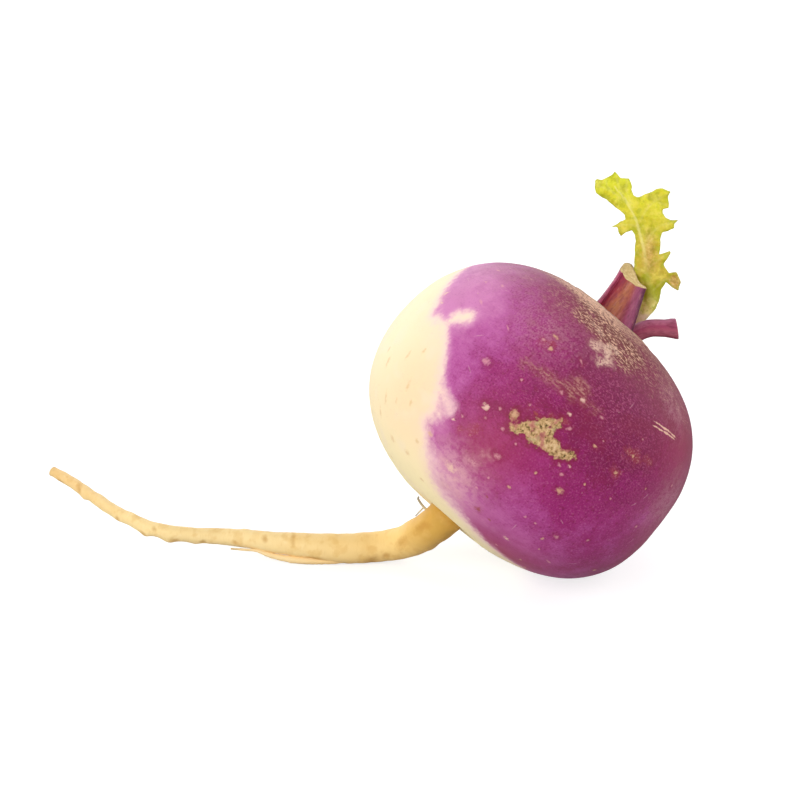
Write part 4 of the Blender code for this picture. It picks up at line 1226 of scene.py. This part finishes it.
def build_leaf():
    flat, triangles, rim = leaf_grid()
    u, v = flat.T
    flat3, count = flat_in_space(flat), len(flat)
    edge = line_distance(flat, rim, True)
    rib_line = np.array(LEAF_RIB)
    rib, rib_rise = np.full(count, 99.0), np.zeros(count)
    for a, b in zip(rib_line, rib_line[1:]):
        span = b[:2] - a[:2]
        t = np.clip((flat - a[:2]) @ span / (span @ span), 0, 1)
        near = a + t[:, None] * (b - a)
        off = np.linalg.norm(flat - near[:, :2], axis=1) / near[:, 2]
        rib = np.minimum(rib, off)
        rib_rise = np.maximum(rib_rise, near[:, 3] * np.sqrt(np.clip(1 - off ** 2, 0, 1)))
    vein = np.min([line_distance(flat, curve_through(line, 6)) for line in LEAF_VEINS], axis=0)

    # How far the blade stands forward: it leans on the stalk, then curls, cups and crumples.
    middle = np.interp(v, rib_line[:, 1], rib_line[:, 0])
    eased = 0.5 * (v + np.sqrt(v ** 2 + 4)) - 0.15
    blade = smooth(v, 4, 11)
    away = (0.35 + 0.65 * smooth(np.abs(u - middle), 0.6, 3.0)) * blade
    crumple = away * (1.25 * lumps(flat3, 4.2) + 1.0 * lumps(flat3, 1.9, 2.0) + 0.42 * lumps(flat3, 1.0, 6.0))
    forward = 0.653 * eased - 0.0316 * eased ** 2 + 0.00039 * eased ** 3 + blade * 0.012 * (u - middle) ** 2
    forward += crumple + 0.5 * smooth(edge, 1.4, 0.0) * blade * lumps(flat3, 3.0, 8.0)
    forward += 0.10 * lumps(flat3, 0.9, 4.0) * blade
    vein_rise = 0.10 * smooth(vein, 0.42, 0.0) * smooth(edge, 0.0, 0.8)
    half = LEAF_HALF * smooth(edge, -0.3, 0.5) + 0.05
    sides = []
    for way, lift in ((1, 0.75), (-1, 1.0)):
        height = forward + way * (half + rib_rise * lift * smooth(edge, 0.0, 0.25) + vein_rise)
        sides.append(LEAF_FOOT + u[:, None] * LEAF_ACROSS + v[:, None] * LEAF_UP + height[:, None] * LEAF_FORWARD)
    # Both sides, and a strip between them along every edge that only one triangle has.
    faces = list(triangles) + [tuple(count + i for i in face[::-1]) for face in triangles]
    used = dict.fromkeys((a, b) for face in triangles for a, b in zip(face, face[1:] + face[:1]))
    faces += [(b, a, count + a, count + b) for a, b in used if (b, a) not in used]
    # The stalk's foot is let into the crown: what would pass below its floor is drawn up to it.
    own = to_own(np.vstack(sides))
    own[:, 2] = np.maximum(own[:, 2], STALK_FOOT)

    def strongest(places):
        return np.max([strength * np.exp(-((u - x) / wide) ** 2 - ((v - y) / high) ** 2)
                       for x, y, strength, wide, high in places], axis=0)

    stem = 0.45 * smooth(rib, 0.45, 0.9) * smooth(v, 4.0, 1.0) * smooth(v, -6.0, -3.0)
    rib_pale = smooth(rib, 1.0, 0.3) * (0.15 + 0.85 * smooth(v, 9, 18)) * (0.3 + 0.7 * smooth(v, 36, 30))
    layers = {
        "up": np.clip((v + 3) / 36, 0, 1), "vein": np.maximum(0.3 * smooth(vein, 0.4, 0.05), rib_pale),
        "rim": edge, "tan": strongest(LEAF_TAN), "olive": np.maximum(strongest(LEAF_OLIVE), stem),
        # How far back the crumpled blade dips, for painted shade in its valleys.
        "fold": np.clip(0.5 + 0.5 * crumple, 0, 1),
    }
    layers = {name: np.tile(values, 2) for name, values in layers.items()}
    layers["own"] = np.vstack([flat3 + (0, 0, 40), flat3 + (0, 0, 90)])
    add_piece("leaf_young", to_row(own), faces, layers, leaf_material(), ("young_leaf",))


# ---------------------------------------------------------------- rootlets

# Points in the row's frame and the radius there.
ROOTLETS = (
    ((-29.6, -8.0, 15.2, 0.32), (-30.4, -8.0, 16.1, 0.30), (-32.1, -8.0, 17.8, 0.29), (-33.3, -8.0, 19.7, 0.27),
     (-33.1, -8.0, 20.3, 0.18)),
    ((-30.2, -7.2, 14.6, 0.28), (-31.0, -7.0, 15.5, 0.24), (-31.8, -7.0, 17.0, 0.2), (-32.7, -7.0, 16.3, 0.19),
     (-33.9, -7.0, 14.9, 0.12)),
    ((-48.5, -2.2, 1.5, 0.35), (-52.0, -2.5, 1.15, 0.7), (-56.5, -2.4, 1.0, 0.85), (-60.5, -2.2, 1.0, 0.9),
     (-64.0, -1.6, 1.05, 0.9), (-67.5, -0.6, 1.25, 0.8), (-70.2, 0.3, 1.65, 0.65), (-72.6, 1.0, 2.2, 0.42),
     (-75.6, 1.2, 2.35, 0.32), (-79.0, 1.4, 2.5, 0.2)),
)
ROOTLET_COUNT = 12
SIDE_ROOT_START = -40.0


def build_rootlets():
    hairs, angles = Growth(), round_angles(ROOTLET_COUNT)
    for route in ROOTLETS:
        line, along = respaced(curve_through(route, 8), 0.25)
        first = Vector(line[1, :3] - line[0, :3]).normalized()
        side = first.orthogonal().normalized()
        sides = carried_frames(line[:, :3], side, first.cross(side), first)
        starts = []
        for i, station in enumerate(line):
            wobble = 1 + 0.12 * noise.noise((along[i] * 1.3, route[0][0], 0.0))
            ring = station[:3] + circle(angles, sides[i, 0], sides[i, 1]) * station[3] * wobble
            starts.append(hairs.add(ring, up=along[i] / along[-1]))
        for low, high in zip(starts, starts[1:]):
            hairs.join(low, ROOTLET_COUNT, high, ROOTLET_COUNT)
        for end, way in ((0, -np.array(first)), (-1, sides[-1, 2])):
            tip = hairs.add(line[end, :3] + way * 0.08, up=-end)
            hairs.fan(starts[end], ROOTLET_COUNT, tip, flip=end == 0)
    points, up = hairs.whole("up")
    points[:, 2] = np.maximum(points[:, 2], 0.0)
    # The third rootlet, a side root under the tap root, has the tap root's colour.
    layers = {"own": points * (0.4, 1.0, 1.0), "up": up, "side_root": points[:, 0] < SIDE_ROOT_START}
    add_piece("rootlets", points, hairs.faces, layers, rootlet_material())


# ---------------------------------------------------------------- the studio

FLOOR_HALF = 4.0
FLOOR_BOUNCE = 0.50
FLOOR_WHITE = 0.70
WORLD_LIGHT = 0.30
WHITE = (1.0, 1.0, 1.0, 1.0)
# Suns: strength, angle in degrees, and where their light goes.
SUNS = {
    "key": (2.6, 60, (0.60, 0.74, -0.30)),
    "side": (2.2, 80, (-0.94, 0.15, -0.30)),
    "back": (2.4, 80, (0.40, -0.87, -0.30)),
}
CAMERA_PLACE = (-0.0376, -0.4205, 0.1948)
CAMERA_TILT = math.radians(70)


def build_studio():
    scene = bpy.context.scene

    def placed(name, data):
        thing = bpy.data.objects.new(name, data)
        scene.collection.objects.link(thing)
        return thing

    mesh = bpy.data.meshes.new("floor")
    corners = [(x * FLOOR_HALF, y * FLOOR_HALF, 0) for x, y in ((-1, -1), (1, -1), (1, 1), (-1, 1))]
    mesh.from_pydata(corners, [], [(0, 1, 2, 3)])
    floor = placed("floor", mesh)
    s = Shader("floor_paper", Roughness=0.9, Base_Color=(FLOOR_BOUNCE, FLOOR_BOUNCE, FLOOR_BOUNCE, 1.0),
               Specular_IOR_Level=0.0, Emission_Color=WHITE)
    # Paper white to the camera without lighting the turnip from below as strongly.
    to_camera = s.node("LightPath", out="Is Camera Ray")
    s.put(s.surface.inputs["Emission Strength"], s.times(to_camera, FLOOR_WHITE))
    mesh.materials.append(s.material)

    # The world: white to the camera, and dimmer as a light.
    world = bpy.data.worlds.new("studio")
    world.use_nodes = True
    tree = world.node_tree
    light, seen = tree.nodes["Background"], tree.nodes.new("ShaderNodeBackground")
    for background, strength in ((light, WORLD_LIGHT), (seen, 1.0)):
        background.inputs["Color"].default_value = WHITE
        background.inputs["Strength"].default_value = strength
    path, mixed = tree.nodes.new("ShaderNodeLightPath"), tree.nodes.new("ShaderNodeMixShader")
    for socket, out in enumerate((path.outputs["Is Camera Ray"], light.outputs[0], seen.outputs[0])):
        tree.links.new(out, mixed.inputs[socket])
    tree.links.new(mixed.outputs[0], tree.nodes["World Output"].inputs[0])
    scene.world = world

    for name, (strength, angle, way) in SUNS.items():
        lamp = bpy.data.lights.new(name, "SUN")
        lamp.energy, lamp.angle = strength, math.radians(angle)
        placed(name, lamp).rotation_euler = Vector(way).to_track_quat("-Z", "Y").to_euler()

    lens = bpy.data.cameras.new("camera")
    lens.lens, lens.sensor_width = 85.0, 36.0
    lens.clip_start, lens.clip_end = 0.01, 100.0
    camera = placed("camera", lens)
    camera.location = CAMERA_PLACE
    camera.rotation_euler = (CAMERA_TILT, 0.0, 0.0)
    scene.camera = camera
    scene.view_settings.view_transform = "Standard"
    scene.view_settings.look = "None"


build_skin()
build_large_stalk()
build_small_stalk()
build_leaf()
build_rootlets()
build_studio()
